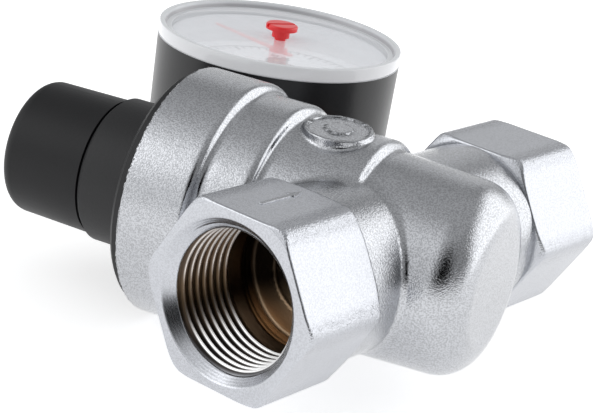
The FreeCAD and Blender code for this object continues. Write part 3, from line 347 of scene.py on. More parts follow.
@dataclass(frozen=True)
class PortMetal(Finish):
    """Chrome of a port fitting: satin flats, a turned face and chamfer, and stained thread inside.

    Inside, light and shade are painted into the plating. Downhill the crests carry a painted
    highlight and the roots between them painted shade. Round the middle a band of painted shade
    darkens both, and at the top the crests carry a painted highlight again. Elsewhere the roots are
    darker than the crests, with stains and painted shade. The bore past the thread is in painted
    shade, and its brass is lit by painted light downhill. A zone is the span over which one look
    gives way to the next: depths from the mouth for entry, face, shallow and bottom, distances from
    the thread's crest for flank, from its root for wall and chamfer and from the hexagon's corner
    for tip, noise levels for dimple, and heights downhill for the others. A cover is how much of a
    colour shows. A pair of colours holds the darkest and the lightest. The marks are lines to the
    radian, wobble and depth.
    """

    mouth: Triple = (0.0, 0.0, 0.0)
    inward: Triple = (0.0, 1.0, 0.0)
    crest: float = 12.06
    root: float = 13.22
    corner: float = 18.0
    grain: float = 0.30
    relief: float = 0.13
    coarse: Zone = (0.3, 0.9)
    tip: Zone = (-1.3, -0.3)
    dimple: Zone = (0.38, 0.60)
    hollow: float = 0.88
    patches: Grain = Grain(7.0)
    stain: Grain = Grain(2.4, 3.0, 0.6)
    wobble: Grain = Grain(1.2, 1.0)
    marks: Triple = (16.0, 3.0, 0.006)
    marks_strength: float = 0.5
    gloss: Triple = (0.23, 0.06, 0.10)
    entry: Zone = (2.0, 2.8)
    face: Zone = (0.10, 0.5)
    shallow: Zone = (3.0, 9.0)
    bottom: Zone = (14.5, 16.0)
    flank: Zone = (0.02, 0.36)
    clean_flank: float = 0.06
    wall: Zone = (-0.02, 0.10)
    chamfer: Zone = (1.3, 1.5)
    murk_start: Zone = (-5.0, -1.5)
    murk_end: Zone = (1.0, 5.0)
    clean: Zone = (4.0, 9.0)
    top: Zone = (-10.5, -4.5)
    golden: Zone = (2.0, 8.0)
    stains: tuple[Colour, Colour] = ((0.035, 0.021, 0.013, 1.0), (0.14, 0.092, 0.058, 1.0))
    shallow_stain: Colour = (0.085, 0.062, 0.046, 1.0)
    clean_root: Colour = (0.010, 0.010, 0.011, 1.0)
    clean_cover: float = 0.85
    murk: Colour = (0.10, 0.065, 0.035, 1.0)
    murk_cover: float = 0.7
    bright: Colour = (0.86, 0.79, 0.74, 1.0)
    dull: Colour = (0.17, 0.11, 0.06, 1.0)
    dull_cover: float = 0.9
    bores: tuple[Colour, Colour] = ((0.014, 0.009, 0.006, 1.0), (0.055, 0.035, 0.020, 1.0))
    gold: Colour = (0.62, 0.44, 0.28, 1.0)
    gold_cover: Zone = (0.6, 0.4)
    shine: float = 0.62
    top_shine: float = 0.4

    def inside(self, paint: Paint, depth: Wire, radius: Wire, stain: Wire) -> tuple[Wire, Wire]:
        """Build the thread and the bore.

        Args:
            paint: The tree.
            depth: Depth from the mouth.
            radius: Distance from the port's axis.
            stain: Noise of the stains.

        Returns:
            Their colour, painted light and shade included, and their painted glow.
        """
        low = paint.along(DOWNHILL, self.mouth)
        # a band of painted shade round the middle darkens roots and crests
        shade_band = low.ramp(*self.murk_start) * (1.0 - low.ramp(*self.murk_end))
        # downhill: the zone of painted highlight on the crests and painted shade in the roots
        clean = low.ramp(*self.clean)
        root = (radius - self.clean_flank * clean).past(self.crest, self.flank)
        # roots: stains and painted shade, much darker than the crests
        stained_root_shade = paint.mix(stain, *self.stains)
        stained_root_shade = paint.mix(depth.ramp(*self.shallow), self.shallow_stain, stained_root_shade)
        # painted shade: roots downhill go near black
        stained_root_shade = paint.mix(clean * self.clean_cover, stained_root_shade, self.clean_root)
        stained_root_shade = paint.mix(shade_band * self.murk_cover, stained_root_shade, self.murk)
        # painted shade on the crests within the band
        crest = paint.mix(shade_band * self.dull_cover, self.bright, self.dull)
        # painted highlight: crests downhill go white
        crest = paint.mix(clean, crest, grey(1.0))
        # painted shade: the bore past the thread is near black, varied by stains
        deep = depth.ramp(*self.bottom)
        # painted highlight: emitted light on the crests downhill and at the top
        lit = clean.most(self.top_shine - self.top_shine * low.ramp(*self.top))
        glow = paint.mix(lit * (1.0 - root) * (1.0 - deep), grey(0.0), grey(self.shine))
        # painted light: the bore's brass turns golden downhill
        cover = low.ramp(*self.golden) * (self.gold_cover[0] + self.gold_cover[1] * stain)
        bore = paint.mix(cover, paint.mix(stain, *self.bores), self.gold)
        return paint.mix(deep, paint.mix(root, crest, stained_root_shade), bore), glow

    def fill(self, paint: Paint) -> None:
        """Build the flats, the turned face and the inside.

        Args:
            paint: The tree.
        """
        depth = paint.along(self.inward, self.mouth)
        radius = paint.radius(self.inward, self.mouth)
        bore = (1.0 - radius.past(self.root, self.wall)) * depth.ramp(*self.entry)
        turned = 1.0 - depth.ramp(*self.face)
        turned = turned.most(1.0 - radius.past(self.root, self.chamfer))
        grain, stain = paint.noise(Grain(self.grain)), paint.noise(self.stain)
        lines, wobble, groove = self.marks
        rings = (radius * lines + paint.noise(self.wobble) * wobble).sine()
        inside, glow = self.inside(paint, depth, radius, stain)
        dark = scaled(self.colour, self.hollow)
        plate = paint.mix(grain.ramp(*self.dimple), dark, self.colour)
        coarse = self.coarse[0] + self.coarse[1] * radius.past(self.corner, self.tip)
        normal = paint.bump(grain * coarse * (1.0 - turned), 1.0, self.relief)
        normal = paint.bump(rings * turned, self.marks_strength, groove, normal)
        least, patchy, stained = self.gloss
        gloss = least + patchy * paint.noise(self.patches) + stained * stain * bore
        # Emission_Color carries the painted glow of the crests inside
        paint.surface(Base_Color=paint.mix(bore, plate, inside), Metallic=1.0, Roughness=gloss,
                      Normal=normal, Emission_Color=paint.mix(bore, grey(0.0), glow),
                      Emission_Strength=1.0)


@dataclass(frozen=True)
class Moulding(Finish):
    """Moulded plastic with a fine skin and faint flow marks, and a clear coat if wanted."""

    gloss: float = 0.4
    grain: float = 0.5
    relief: float = 0.02
    coat: float = 0.0
    specular: float = 0.5
    octaves: Zone = (3.0, 0.6)
    flow: Grain = FLOW_MARKS
    flow_gloss: float = 0.12
    flow_share: float = 0.8
    lighter: Zone = (1.35, 0.004)
    coat_gloss: float = 0.08

    def fill(self, paint: Paint) -> None:
        """Build skin grain, flow marks and a slight change of tone.

        Args:
            paint: The tree.
        """
        skin, flow = paint.noise(Grain(self.grain, *self.octaves)), paint.noise(self.flow)
        tone = paint.mix(flow * self.flow_share + skin * (1.0 - self.flow_share), self.colour,
                         scaled(self.colour, *self.lighter))
        paint.surface(Base_Color=tone, Roughness=self.gloss + self.flow_gloss * flow,
                      Normal=paint.bump(skin, 1.0, self.relief), Coat_Weight=self.coat,
                      Coat_Roughness=self.coat_gloss, Specular_IOR_Level=self.specular)


@dataclass(frozen=True)
class CaseMoulding(Finish):
    """Black glossy case, white on its top edge and on the wall above the dial.

    The wall's radius is bore, and the edges are where white gives way to black.
    """

    centre: Triple = (0.0, 0.0, 0.0)
    bore: float = 24.3
    bore_edge: Zone = (0.02, 0.10)
    dial: float = 10.4
    dial_edge: Zone = (-0.2, -0.1)
    top: float = 17.2
    top_edge: Zone = (-0.06, -0.02)
    white: Colour = (0.78, 0.79, 0.81, 1.0)
    lighter: float = 1.6
    skin: Grain = Grain(0.8, 3.0, 0.6)
    relief: float = 0.012
    gloss: Zone = (0.26, 0.10)
    specular: float = 0.45

    def fill(self, paint: Paint) -> None:
        """Build both zones, the moulded skin and faint flow marks.

        Args:
            paint: The tree.
        """
        height = paint.along(Z_AXIS, self.centre)
        within = 1.0 - paint.radius(Z_AXIS, self.centre).past(self.bore, self.bore_edge)
        wall = within * height.past(self.dial, self.dial_edge)
        coated = wall.most(height.past(self.top, self.top_edge))
        flow = paint.noise(FLOW_MARKS)
        black = paint.mix(flow, self.colour, scaled(self.colour, self.lighter))
        paint.surface(Base_Color=paint.mix(coated, black, self.white),
                      Roughness=self.gloss[0] + self.gloss[1] * flow,
                      Specular_IOR_Level=self.specular,
                      Normal=paint.bump(paint.noise(self.skin), 1.0, self.relief))


@dataclass(frozen=True)
class TurnedMetal(Finish):
    """Bright metal with turning marks and patches that are darker by the tarnish."""

    gloss: float = 0.25
    tarnish: float = 0.25
    marks: Grain = Grain(0.25, stretch=(1.0, 1.0, 0.2))
    relief: Zone = (0.6, 0.01)
    patch: Grain = Grain(3.5, 3.0, 0.6)
    patch_gloss: float = 0.15

    def fill(self, paint: Paint) -> None:
        """Build fine marks and patches of tarnish.

        Args:
            paint: The tree.
        """
        patch = paint.noise(self.patch)
        tone = paint.mix(patch, scaled(self.colour, 1.0 - self.tarnish), self.colour)
        paint.surface(Base_Color=tone, Metallic=1.0,
                      Roughness=self.gloss + self.patch_gloss * patch,
                      Normal=paint.bump(paint.noise(self.marks), *self.relief))


@dataclass(frozen=True)
class RawBrass(Finish):
    """Unplated brass inside the casting, stained, in painted shade uphill and lit by painted light
    downhill from the flow line.
    """

    gold: Colour = (0.66, 0.46, 0.29, 1.0)
    golden: Zone = (0.5, 7.5)
    stain: Grain = Grain(4.0, 3.0, 0.6)
    stained: float = 0.35
    skin: Grain = Grain(0.6)
    relief: Zone = (0.8, 0.05)
    gloss: Zone = (0.34, 0.16)

    def fill(self, paint: Paint) -> None:
        """Build stains, a cast skin and the painted light downhill.
        """
        stain = paint.noise(self.stain)
        low = paint.along(DOWNHILL, (0.0, 0.0, 0.0)).ramp(*self.golden)
        # painted shade uphill, where the dark colour shows; painted light downhill, where the lit
        # brass shows
        tone = paint.mix(stain, scaled(self.colour, self.stained), self.colour)
        paint.surface(Base_Color=paint.mix(low, tone, self.gold), Metallic=1.0,
                      Roughness=self.gloss[0] + self.gloss[1] * stain,
                      Normal=paint.bump(paint.noise(self.skin), *self.relief))


@dataclass(frozen=True)
class Enamel(Finish):
    """Flat printed or enamelled sheet with a faint orange-peel skin, brightened by a painted glow.
    """

    gloss: float = 0.35
    glow: float = 0.0
    # tint of the painted glow
    light: Colour = (0.96, 0.97, 1.0, 1.0)
    peel: Grain = Grain(1.1)
    peel_gloss: float = 0.1
    relief: Zone = (0.3, 0.01)
    shade: Grain = Grain(12.0, 1.0)
    shaded: float = 0.94

    def fill(self, paint: Paint) -> None:
        """Build the skin, a slight change of tone and the painted glow.

        Args:
            paint: The tree.
        """
        peel = paint.noise(self.peel)
        tone = paint.mix(paint.noise(self.shade), scaled(self.colour, self.shaded), self.colour)
        # painted light: the emission makes the sheet glow though no lamp lights it
        paint.surface(Base_Color=tone, Roughness=self.gloss + self.peel_gloss * peel,
                      Normal=paint.bump(peel, *self.relief), Emission_Color=self.light,
                      Emission_Strength=self.glow)


@dataclass(frozen=True)
class ClearPlastic(Finish):
    """Clear polished plastic, seen through its face and milky at its thick rim.

    Rim, groove and wall are radii: where the thick rim starts, of the darker line inside it, and
    over which the outer wall begins. The alpha goes from low at the middle to high at the rim,
    and rises with the haze and at flat angles of view.
    """

    centre: Triple = (0.0, 0.0, 0.0)
    rim: float = 23.2
    rim_edge: Zone = (-0.2, 0.2)
    groove: float = 24.35
    groove_edges: tuple[Zone, Zone] = ((-0.2, 0.0), (0.1, 0.3))
    wall: Zone = (25.55, 25.80)
    low: float = 0.28
    high: float = 1.0
    hazy: float = 0.05
    slanted: Zone = (3.0, 0.35)
    haze: Grain = Grain(5.0)
    relief: Zone = (0.2, 0.05)
    gloss: Zone = (0.05, 0.05)
    groove_tone: Colour = (0.50, 0.50, 0.52, 1.0)
    wall_tone: Colour = (0.45, 0.46, 0.47, 1.0)
    face_glow: Colour = (0.18, 0.18, 0.19, 1.0)
    wall_glow: Colour = (0.30, 0.30, 0.31, 1.0)

    def fill(self, paint: Paint) -> None:
        """Build the change of alpha from the middle to the rim and with the angle of view, and the
        painted glow of the face and the outer wall.

        Args:
            paint: The tree.
        """
        radius = paint.radius(Z_AXIS, self.centre)
        edge, wall = radius.past(self.rim, self.rim_edge), radius.ramp(*self.wall)
        facing = paint.add("ShaderNodeLayerWeight", None, {"Blend": 0.5}, "Facing")
        haze = paint.noise(self.haze)
        power, gain = self.slanted
        alpha = self.low + self.hazy * haze + facing ** power * gain
        alpha = (alpha + edge * (self.high - self.low)).least(1.0)
        start, end = self.groove_edges
        groove = radius.past(self.groove, start) * (1.0 - radius.past(self.groove, end))
        tone = paint.mix(wall, paint.mix(groove, self.colour, self.groove_tone), self.wall_tone)
        # painted light: the face and the outer wall glow
        glow = paint.mix(wall, paint.mix(edge, self.face_glow, grey(0.0)), self.wall_glow)
        paint.surface(Base_Color=tone, Roughness=self.gloss[0] + self.gloss[1] * haze,
                      Alpha=alpha, Emission_Color=glow, Emission_Strength=1.0,
                      Normal=paint.bump(haze, *self.relief))


# ---- mesh helpers
TINY = 1e-9
ARC_SHARES = (0.0, 0.33, 0.67, 1.0)
ARC_REACH = 0.45


def round_max(first: np.ndarray, second: np.ndarray, radius: float) -> np.ndarray:
    """Intersect two distance fields with an outer edge rounded to that radius."""
    corner = np.hypot(np.maximum(first + radius, 0.0), np.maximum(second + radius, 0.0))
    return np.minimum(np.maximum(first, second), -radius) + corner


def round_min(first: np.ndarray, second: np.ndarray, radius: float) -> np.ndarray:
    """Unite two distance fields with a fillet of that radius between them."""
    return -round_max(-first, -second, radius)


def slab(position: np.ndarray, low: float, high: float) -> np.ndarray:
    """Return the distance to the layer between two heights."""
    return np.maximum(low - position, position - high)


def from_line(offset: Points, axis: Points) -> Pair:
    """Return the distances of offsets from a line along the axis, and their places along it."""
    along = offset @ axis
    return np.sqrt(np.maximum((offset ** 2).sum(axis=-1) - along ** 2, 0.0)), along


def heading(angle: float) -> np.ndarray:
    """Return the plane direction at an angle in degrees."""
    return np.array([math.cos(math.radians(angle)), math.sin(math.radians(angle))])


def heading3(angle: float, start: Sequence[float], end: Sequence[float]) -> Points:
    """Return the direction at an angle in degrees from start towards end, which are square."""
    return heading(angle) @ np.array([start, end])


def gradient(shape: Field, points: Points, step: float = 0.02) -> Points:
    """Return a field's gradient at some points by central differences."""
    ahead = [step * unit for unit in np.eye(3)]
    return np.stack([(shape(points + move) - shape(points - move)) / (2.0 * step)
                     for move in ahead], axis=-1)


def net_points(value: np.ndarray, mixed: np.ndarray, cells: Points) -> Points:
    """Place one point in each crossed cell, the mean of where the cell's edges are crossed.

    Args:
        value: The field on the grid.
        mixed: True for the crossed cells.
        cells: Their indices.

    Returns:
        The points, counted in cells from the grid's first corner.
    """
    starts = [(i, j, k) for i in (0, 1) for j in (0, 1) for k in (0, 1)]
    size = mixed.shape
    levels = np.stack([value[i:i + size[0], j:j + size[1], k:k + size[2]][mixed]
                       for i, j, k in starts], axis=-1)
    total, count = np.zeros((len(cells), 3)), np.zeros(len(cells))
    for first, start in enumerate(starts):
        for second, end in enumerate(starts):
            if second > first and sum(abs(a - b) for a, b in zip(start, end)) == 1:
                crossed = (levels[:, first] < 0.0) != (levels[:, second] < 0.0)
                fall = levels[crossed, first] - levels[crossed, second]
                share = (levels[crossed, first] / fall)[:, None]
                total[crossed] += np.array(start) + share * (np.array(end) - np.array(start))
                count[crossed] += 1.0
    return cells + total / count[:, None]


def net_quads(solid: np.ndarray, number: np.ndarray) -> Points:
    """Join the points of the four cells round each crossed grid edge.

    Args:
        solid: True where the grid lies inside.
        number: Number of each cell's point.

    Returns:
        The quads, facing outwards.
    """
    quads = []
    for axis in range(3):
        others = [index for index in range(3) if index != axis]
        edges = np.argwhere(np.diff(solid, axis=axis))
        spots = edges[:, others]
        edges = edges[((spots > 0) & (spots < np.array(number.shape)[others])).all(axis=1)]
        ring = []
        for back in ((0, 0), (1, 0), (1, 1), (0, 1)):
            cell = edges.copy()
            cell[:, others] -= back
            ring.append(number[tuple(cell.T)])
        ring = np.stack(ring, axis=-1)
        inward = solid[tuple(edges.T)] == (axis == 1)
        ring[inward] = ring[inward][:, ::-1]
        quads.append(ring)
    return np.concatenate(quads)


def surface_net(shape: Field, low: Triple, high: Triple, step: float,
                rounds: int = 4, flattest: float = 0.25,
                longest: float = 0.3) -> tuple[Points, Points, Points]:
    """Mesh the zero surface of a distance field as quads, one point to a crossed cell.

    Args:
        shape: The field, negative inside, in mm.
        low: Lowest corner of the grid.
        high: Highest corner of the grid.
        step: Cell size.
        rounds: How often the points are moved on to the surface.
        flattest: Least square of the slope that a move is worked out with.
        longest: Longest move, in cells.

    Returns:
        Points, quads and normals.
    """
    axes = [np.arange(a, b + step, step) for a, b in zip(low, high)]
    grid = np.stack(np.meshgrid(*axes, indexing="ij"), axis=-1)
    value = np.stack([shape(layer) for layer in grid])
    solid = value < 0.0
    corners = [solid[i:i - 1 or None, j:j - 1 or None, k:k - 1 or None]
               for i in (0, 1) for j in (0, 1) for k in (0, 1)]
    mixed = np.logical_or.reduce(corners) & ~np.logical_and.reduce(corners)
    cells = np.argwhere(mixed)
    number = np.full(mixed.shape, -1)
    number[mixed] = np.arange(len(cells))
    points = np.array(low) + net_points(value, mixed, cells) * step
    for _ in range(rounds):
        slope = gradient(shape, points)
        square = np.maximum((slope ** 2).sum(axis=-1), flattest)
        move = -shape(points)[:, None] * slope / square[:, None]
        points = points + np.clip(move, -longest * step, longest * step)
    normals = gradient(shape, points)
    normals /= np.maximum(np.linalg.norm(normals, axis=-1, keepdims=True), TINY)
    return points, net_quads(solid, number), normals


def wrapped(rings: int, columns: int, closed: bool) -> list[Face]:
    """Join the points of equal rings, numbered ring by ring.

    Args:
        rings: How many rings there are.
        columns: Points to a ring.
        closed: True to join the last ring to the first.

    Returns:
        The quads.
    """
    quads = []
    for row in range(rings if closed else rings - 1):
        below, above = row * columns, (row + 1) % rings * columns
        for column in range(columns):
            beside = (column + 1) % columns
            quads.append((below + column, below + beside, above + beside, above + column))
    return quads


def capped(rings: int) -> list[Face]:
    """Return the faces of a bar of four-point rings: its sides and both ends."""
    last = 4 * (rings - 1)
    return wrapped(rings, 4, False) + [(3, 2, 1, 0), (last, last + 1, last + 2, last + 3)]


def rounded_profile(corners: Sequence[Zone], radius: float) -> list[Zone]:
    """Round every corner of a closed profile with a short arc of four points.

    Args:
        corners: Points in order.
        radius: Largest distance that an arc starts from its corner, where the sides are long.

    Returns:
        The points.
    """
    result = []
    points = [np.array(corner) for corner in corners]
    for number, corner in enumerate(points):
        sides = [points[number - 1] - corner, points[(number + 1) % len(points)] - corner]
        lengths = [float(np.linalg.norm(side)) for side in sides]
        reach = min(radius, *(ARC_REACH * length for length in lengths))
        start, end = [corner + side / length * reach for side, length in zip(sides, lengths)]
        for share in ARC_SHARES:
            blend = ((1 - share) ** 2 * start + 2 * share * (1 - share) * corner
                     + share ** 2 * end)
            result.append((float(blend[0]), float(blend[1])))
    return result


def linked(name: str, data: bpy.types.ID) -> bpy.types.Object:
    """Make an object.

    Args:
        name: The object's name.
        data: Its data.

    Returns:
        The object, linked to the scene.
    """
    made = bpy.data.objects.new(name, data)
    bpy.context.scene.collection.objects.link(made)
    return made


def mesh_object(name: str, points: Points, faces: Iterable[Sequence[int]],
                normals: Points | None = None) -> bpy.types.Object:
    """Make a smooth-shaded object.

    Args:
        name: The object's name.
        points: Points in mm in the CAD frame.
        faces: Point numbers of each face.
        normals: Point normals, if they are known exactly.

    Returns:
        The object, linked to the scene.
    """
    mesh = bpy.data.meshes.new(name)
    mesh.from_pydata((np.asarray(points) * MM).tolist(), [],
                     [list(map(int, face)) for face in faces])
    mesh.validate()
    mesh.shade_smooth()
    if normals is not None:
        mesh.normals_split_custom_set_from_vertices(normals.tolist())
    return linked(name, mesh)


@dataclass
class Bundle:
    """Many small closed forms gathered into one mesh."""

    points: list[Points] = field(default_factory=list)
    faces: list[Face] = field(default_factory=list)
    count: int = 0

    def add(self, points: Points, faces: Iterable[Face]) -> None:
        """Add a form.

        Args:
            points: Its points.
            faces: Its faces, counted from its own first point.
        """
        self.faces += [tuple(self.count + index for index in face) for face in faces]
        self.points.append(points)
        self.count += len(points)


@dataclass
class Assembly:
    """A sub-assembly whose pieces are built, dressed and hung on CAD bodies. Sizes are in mm."""

    frame: dict[str, object] = field(repr=False)

    def keep(self, made: bpy.types.Object, finish: Finish, slot: Slot, *nodes: str,
             body: Body = Body.HOUSING) -> None:
        """Dress a new piece and hang it on its body.

        Args:
            made: The piece.
            finish: Its material.
            slot: The record's slot for the piece; not used.
            nodes: CAD nodes that it stands for.
            body: The body it rides on.
        """
        made.data.materials.clear()
        made.data.materials.append(finish.material())
        if nodes:
            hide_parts(*nodes)
        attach(made, body.value)
        LOG.info("piece %s on %s, %d faces", made.name, body.value, len(made.data.polygons))

    def dress(self, finish: Finish, *nodes: str) -> None:
        """Give CAD nodes a material.

        Args:
            finish: The material.
            nodes: Their names.
        """
        for name in nodes:
            for holder in self.frame["nodes"][name].material_slots:
                holder.material = finish.material()
            LOG.info("node %s in %s", name, finish.name)

    def build(self) -> None:
        """Make the pieces."""
        raise NotImplementedError


# ---- the casting and its ports
class Stage(NamedTuple):
    """A round form between two places along its axis."""

    radius: float
    low: float
    high: float

    def rod(self, away: np.ndarray, along: np.ndarray, edge: float = 0.0) -> np.ndarray:
        """Return the distance to the form, with its end edges rounded if asked."""
        wall, ends = away - self.radius, slab(along, self.low, self.high)
        return round_max(wall, ends, edge) if edge else np.maximum(wall, ends)


class Stub(NamedTuple):
    """A round form that stands on the casting: where its foot is and how far its axis tilts."""

    radius: float
    length: float
    foot: float
    tilt: float


@dataclass(frozen=True)
class Barrel:
    """Where the barrel stands: its axis crosses the flow line and leans from square to it."""

    crossing: Triple = (0.0, 41.72, 0.0)
    lean: float = 12.7

    @property
    def centre(self) -> Points:
        """Return the crossing."""
        return np.array(self.crossing)

    @property
    def up(self) -> Points:
        """Return the direction along the axis, towards the knob."""
        return heading3(self.lean, (-1.0, 0.0, 0.0), (0.0, -1.0, 0.0))

    @property
    def side(self) -> Points:
        """Return the direction across the axis, along the flow."""
        return heading3(self.lean, (0.0, 1.0, 0.0), (-1.0, 0.0, 0.0))

    def around(self, points: Points) -> Pair:
        """Return the points' distances from the axis and their heights along it."""
        offset = points - self.centre
        return np.hypot(offset @ self.side, offset[..., 2]), offset @ self.up


@dataclass
class Casting(Assembly):
    """The chromed casting: stepped barrel, both necks, gauge boss and badge, and its chambers.

    Heights are measured along the barrel from the flow line towards the knob. The chrome is worn
    at the worn distances below the rim, the ring and the bowl. The recess in the badge is given
    by its inner radius, its margin to the badge's edge and its depth, and the channel by its
    radius and the places of its ends, across and along the barrel.
    """

    barrel: Barrel = Barrel()
    rim: Stage = Stage(24.0, 28.9, 41.5)
    ring: Stage = Stage(22.3, 19.4, 36.0)
    waist: Stage = Stage(20.4, 2.0, 30.0)
    shoulder: float = 0.9
    shoulder_slope: float = 70.0
    worn: Triple = (0.8, 0.6, 0.5)
    bowl: Stage = Stage(18.8, -22.5, 6.0)
    bowl_end: float = 17.8
    bowl_edge: float = 7.0
    neck: Stage = Stage(15.8, 17.72, 69.72)
    neck_blend: float = 0.9
    boss: Stub = Stub(9.0, 32.5, 14.5, 23.0)
    boss_blend: float = 2.0
    badge: Stub = Stub(6.4, 21.25, 11.2, 4.5)
    badge_edge: float = 0.3
    recess: Triple = (2.6, 0.8, 0.35)
    recess_edge: float = 0.2
    blend: float = 0.8
    small_blend: float = 0.5
    cut_edge: float = 0.12
    chambers: tuple[Stage, ...] = (Stage(21.0, 33.0, 60.0), Stage(17.0, 12.5, 34.0),
                                   Stage(11.0, 7.0, 13.0), Stage(14.0, -17.5, 8.0))
    inlet: tuple[Stage, Stage] = (Stage(12.6, 0.0, 20.8), Stage(7.4, 0.0, 34.7))
    outlet: Stage = Stage(9.6, 60.7, 90.0)
    channel: tuple[float, Zone, Zone] = (4.5, (25.0, 2.0), (15.0, 20.0))
    boss_bores: tuple[Stage, ...] = (Stage(6.58, 22.5, 37.5), Stage(2.5, 12.5, 32.5))
    grid: tuple[Triple, Triple] = ((-48.0, 7.0, -25.0), (27.5, 80.0, 25.0))
    step: float = 0.55

    def stage(self, away: np.ndarray, height: np.ndarray, size: Stage) -> np.ndarray:
        """Measure to a stage of the barrel, which narrows below its lower edge.

        Args:
            away: Distances from the barrel's axis.
            height: Heights along it.
            size: The stage.

        Returns:
            The distances.
        """
        wall, slope = away - size.radius, heading(self.shoulder_slope)
        cone = wall * slope[0] + (size.low - height) * slope[1]
        return np.maximum(round_max(wall, cone, self.shoulder), height - size.high)

    def on_boss(self, points: Points) -> Pair:
        """Return the distances from the gauge boss's axis and along it from its foot."""
        offset = points - self.barrel.centre - (0.0, self.boss.foot, 0.0)
        return from_line(offset, heading3(self.boss.tilt, (-1.0, 0.0, 0.0), (0.0, 1.0, 0.0)))

    def on_badge(self, points: Points) -> Pair:
        """Return the distances from the badge's axis and along it from the barrel's axis."""
        offset = points - self.barrel.centre - self.barrel.up * self.badge.foot
        return from_line(offset, heading3(self.badge.tilt, Z_AXIS, -self.barrel.side))

    def outside(self, points: Points) -> np.ndarray:
        """Return the distance to the outside of the casting.

        Args:
            points: Any number of points.

        Returns:
            A distance for each, negative inside.
        """
        away, height = self.barrel.around(points)
        shape = self.stage(away, height, self.rim)
        for size in (self.ring, self.waist):
            shape = round_min(shape, self.stage(away, height, size), self.shoulder)
        taper = (self.bowl.radius - self.bowl_end) / -self.bowl.low
        bowl = self.bowl.rod(away - taper * height, height, self.bowl_edge)
        shape = round_min(shape, bowl, self.blend)
        pipe = np.hypot(points[..., 0], points[..., 2])
        shape = round_min(shape, self.neck.rod(pipe, points[..., 1]), self.neck_blend)
        boss = Stage(self.boss.radius, 0.0, self.boss.length)
        shape = round_min(shape, boss.rod(*self.on_boss(points), self.blend), self.boss_blend)
        disc = Stage(self.badge.radius, 0.0, self.badge.length)
        disc = disc.rod(*self.on_badge(points), self.badge_edge)
        return round_min(shape, disc, self.small_blend)

    def inside(self, points: Points) -> np.ndarray:
        """Return the distance to the chambers, ports, channel and gauge port inside.

        Args:
            points: Any number of points.

        Returns:
            A distance for each, negative within those spaces.
        """
        barrel = self.barrel.around(points)
        pipe = np.hypot(points[..., 0], points[..., 2]), points[..., 1]
        mouth, throat = self.inlet
        radius, *ends = self.channel
        low, high = [self.barrel.centre + self.barrel.side * side + self.barrel.up * up
                     for side, up in ends]
        length = float(np.linalg.norm(high - low))
        channel = Stage(radius, 0.0, length)
        return np.minimum.reduce([
            *(chamber.rod(*barrel) for chamber in self.chambers),
            round_min(mouth.rod(*pipe, self.blend), throat.rod(*pipe), self.small_blend),
            self.outlet.rod(*pipe),
            channel.rod(*from_line(points - low, (high - low) / length)),
            *(bore.rod(*self.on_boss(points)) for bore in self.boss_bores)])

    def metal(self, points: Points) -> np.ndarray:
        """Return the distance to the metal, with the shallow ring sunk into the badge.

        Args:
            points: Any number of points.

        Returns:
            A distance for each, negative in the metal.
        """
        away, raised = self.on_badge(points)
        start, margin, depth = self.recess
        recess = np.maximum(slab(away, start, self.badge.radius - margin),
                            self.badge.length - depth - raised)
        hollow = round_max(self.outside(points), -self.inside(points), self.cut_edge)
        return round_max(hollow, -recess, self.recess_edge)

    def build(self) -> None:
        """Mesh the casting and dress it, in raw brass where it faces the inside."""
        points, faces, normals = surface_net(self.metal, *self.grid, self.step)
        made = mesh_object("casting", points, faces, normals)
        worn = zip((self.rim, self.ring, self.bowl), self.worn)
        shoulders = tuple(stage.low - drop for stage, drop in worn)
        finish = BlastedChrome("blasted_chrome", CHROME, tuple(self.barrel.centre),
                               tuple(self.barrel.up), shoulders)
        self.keep(made, finish, Slot.CHROME, "valve_body")
        # the raw brass's dark colour is painted shade inside the casting
        brass = RawBrass("raw_brass", (0.060, 0.042, 0.028, 1.0))
        made.data.materials.append(brass.material())
        middles = points[faces].mean(axis=1)
        hidden = np.abs(self.inside(middles)) < np.abs(self.outside(middles))
        made.data.polygons.foreach_set("material_index", hidden.astype(int))
        made.data.update()


class Bevel(NamedTuple):
    """A cone that cuts a hexagon's corners: where it starts, how deep it goes, and its width."""

    start: float
    drop: float
    corner: float


SIDES = 6


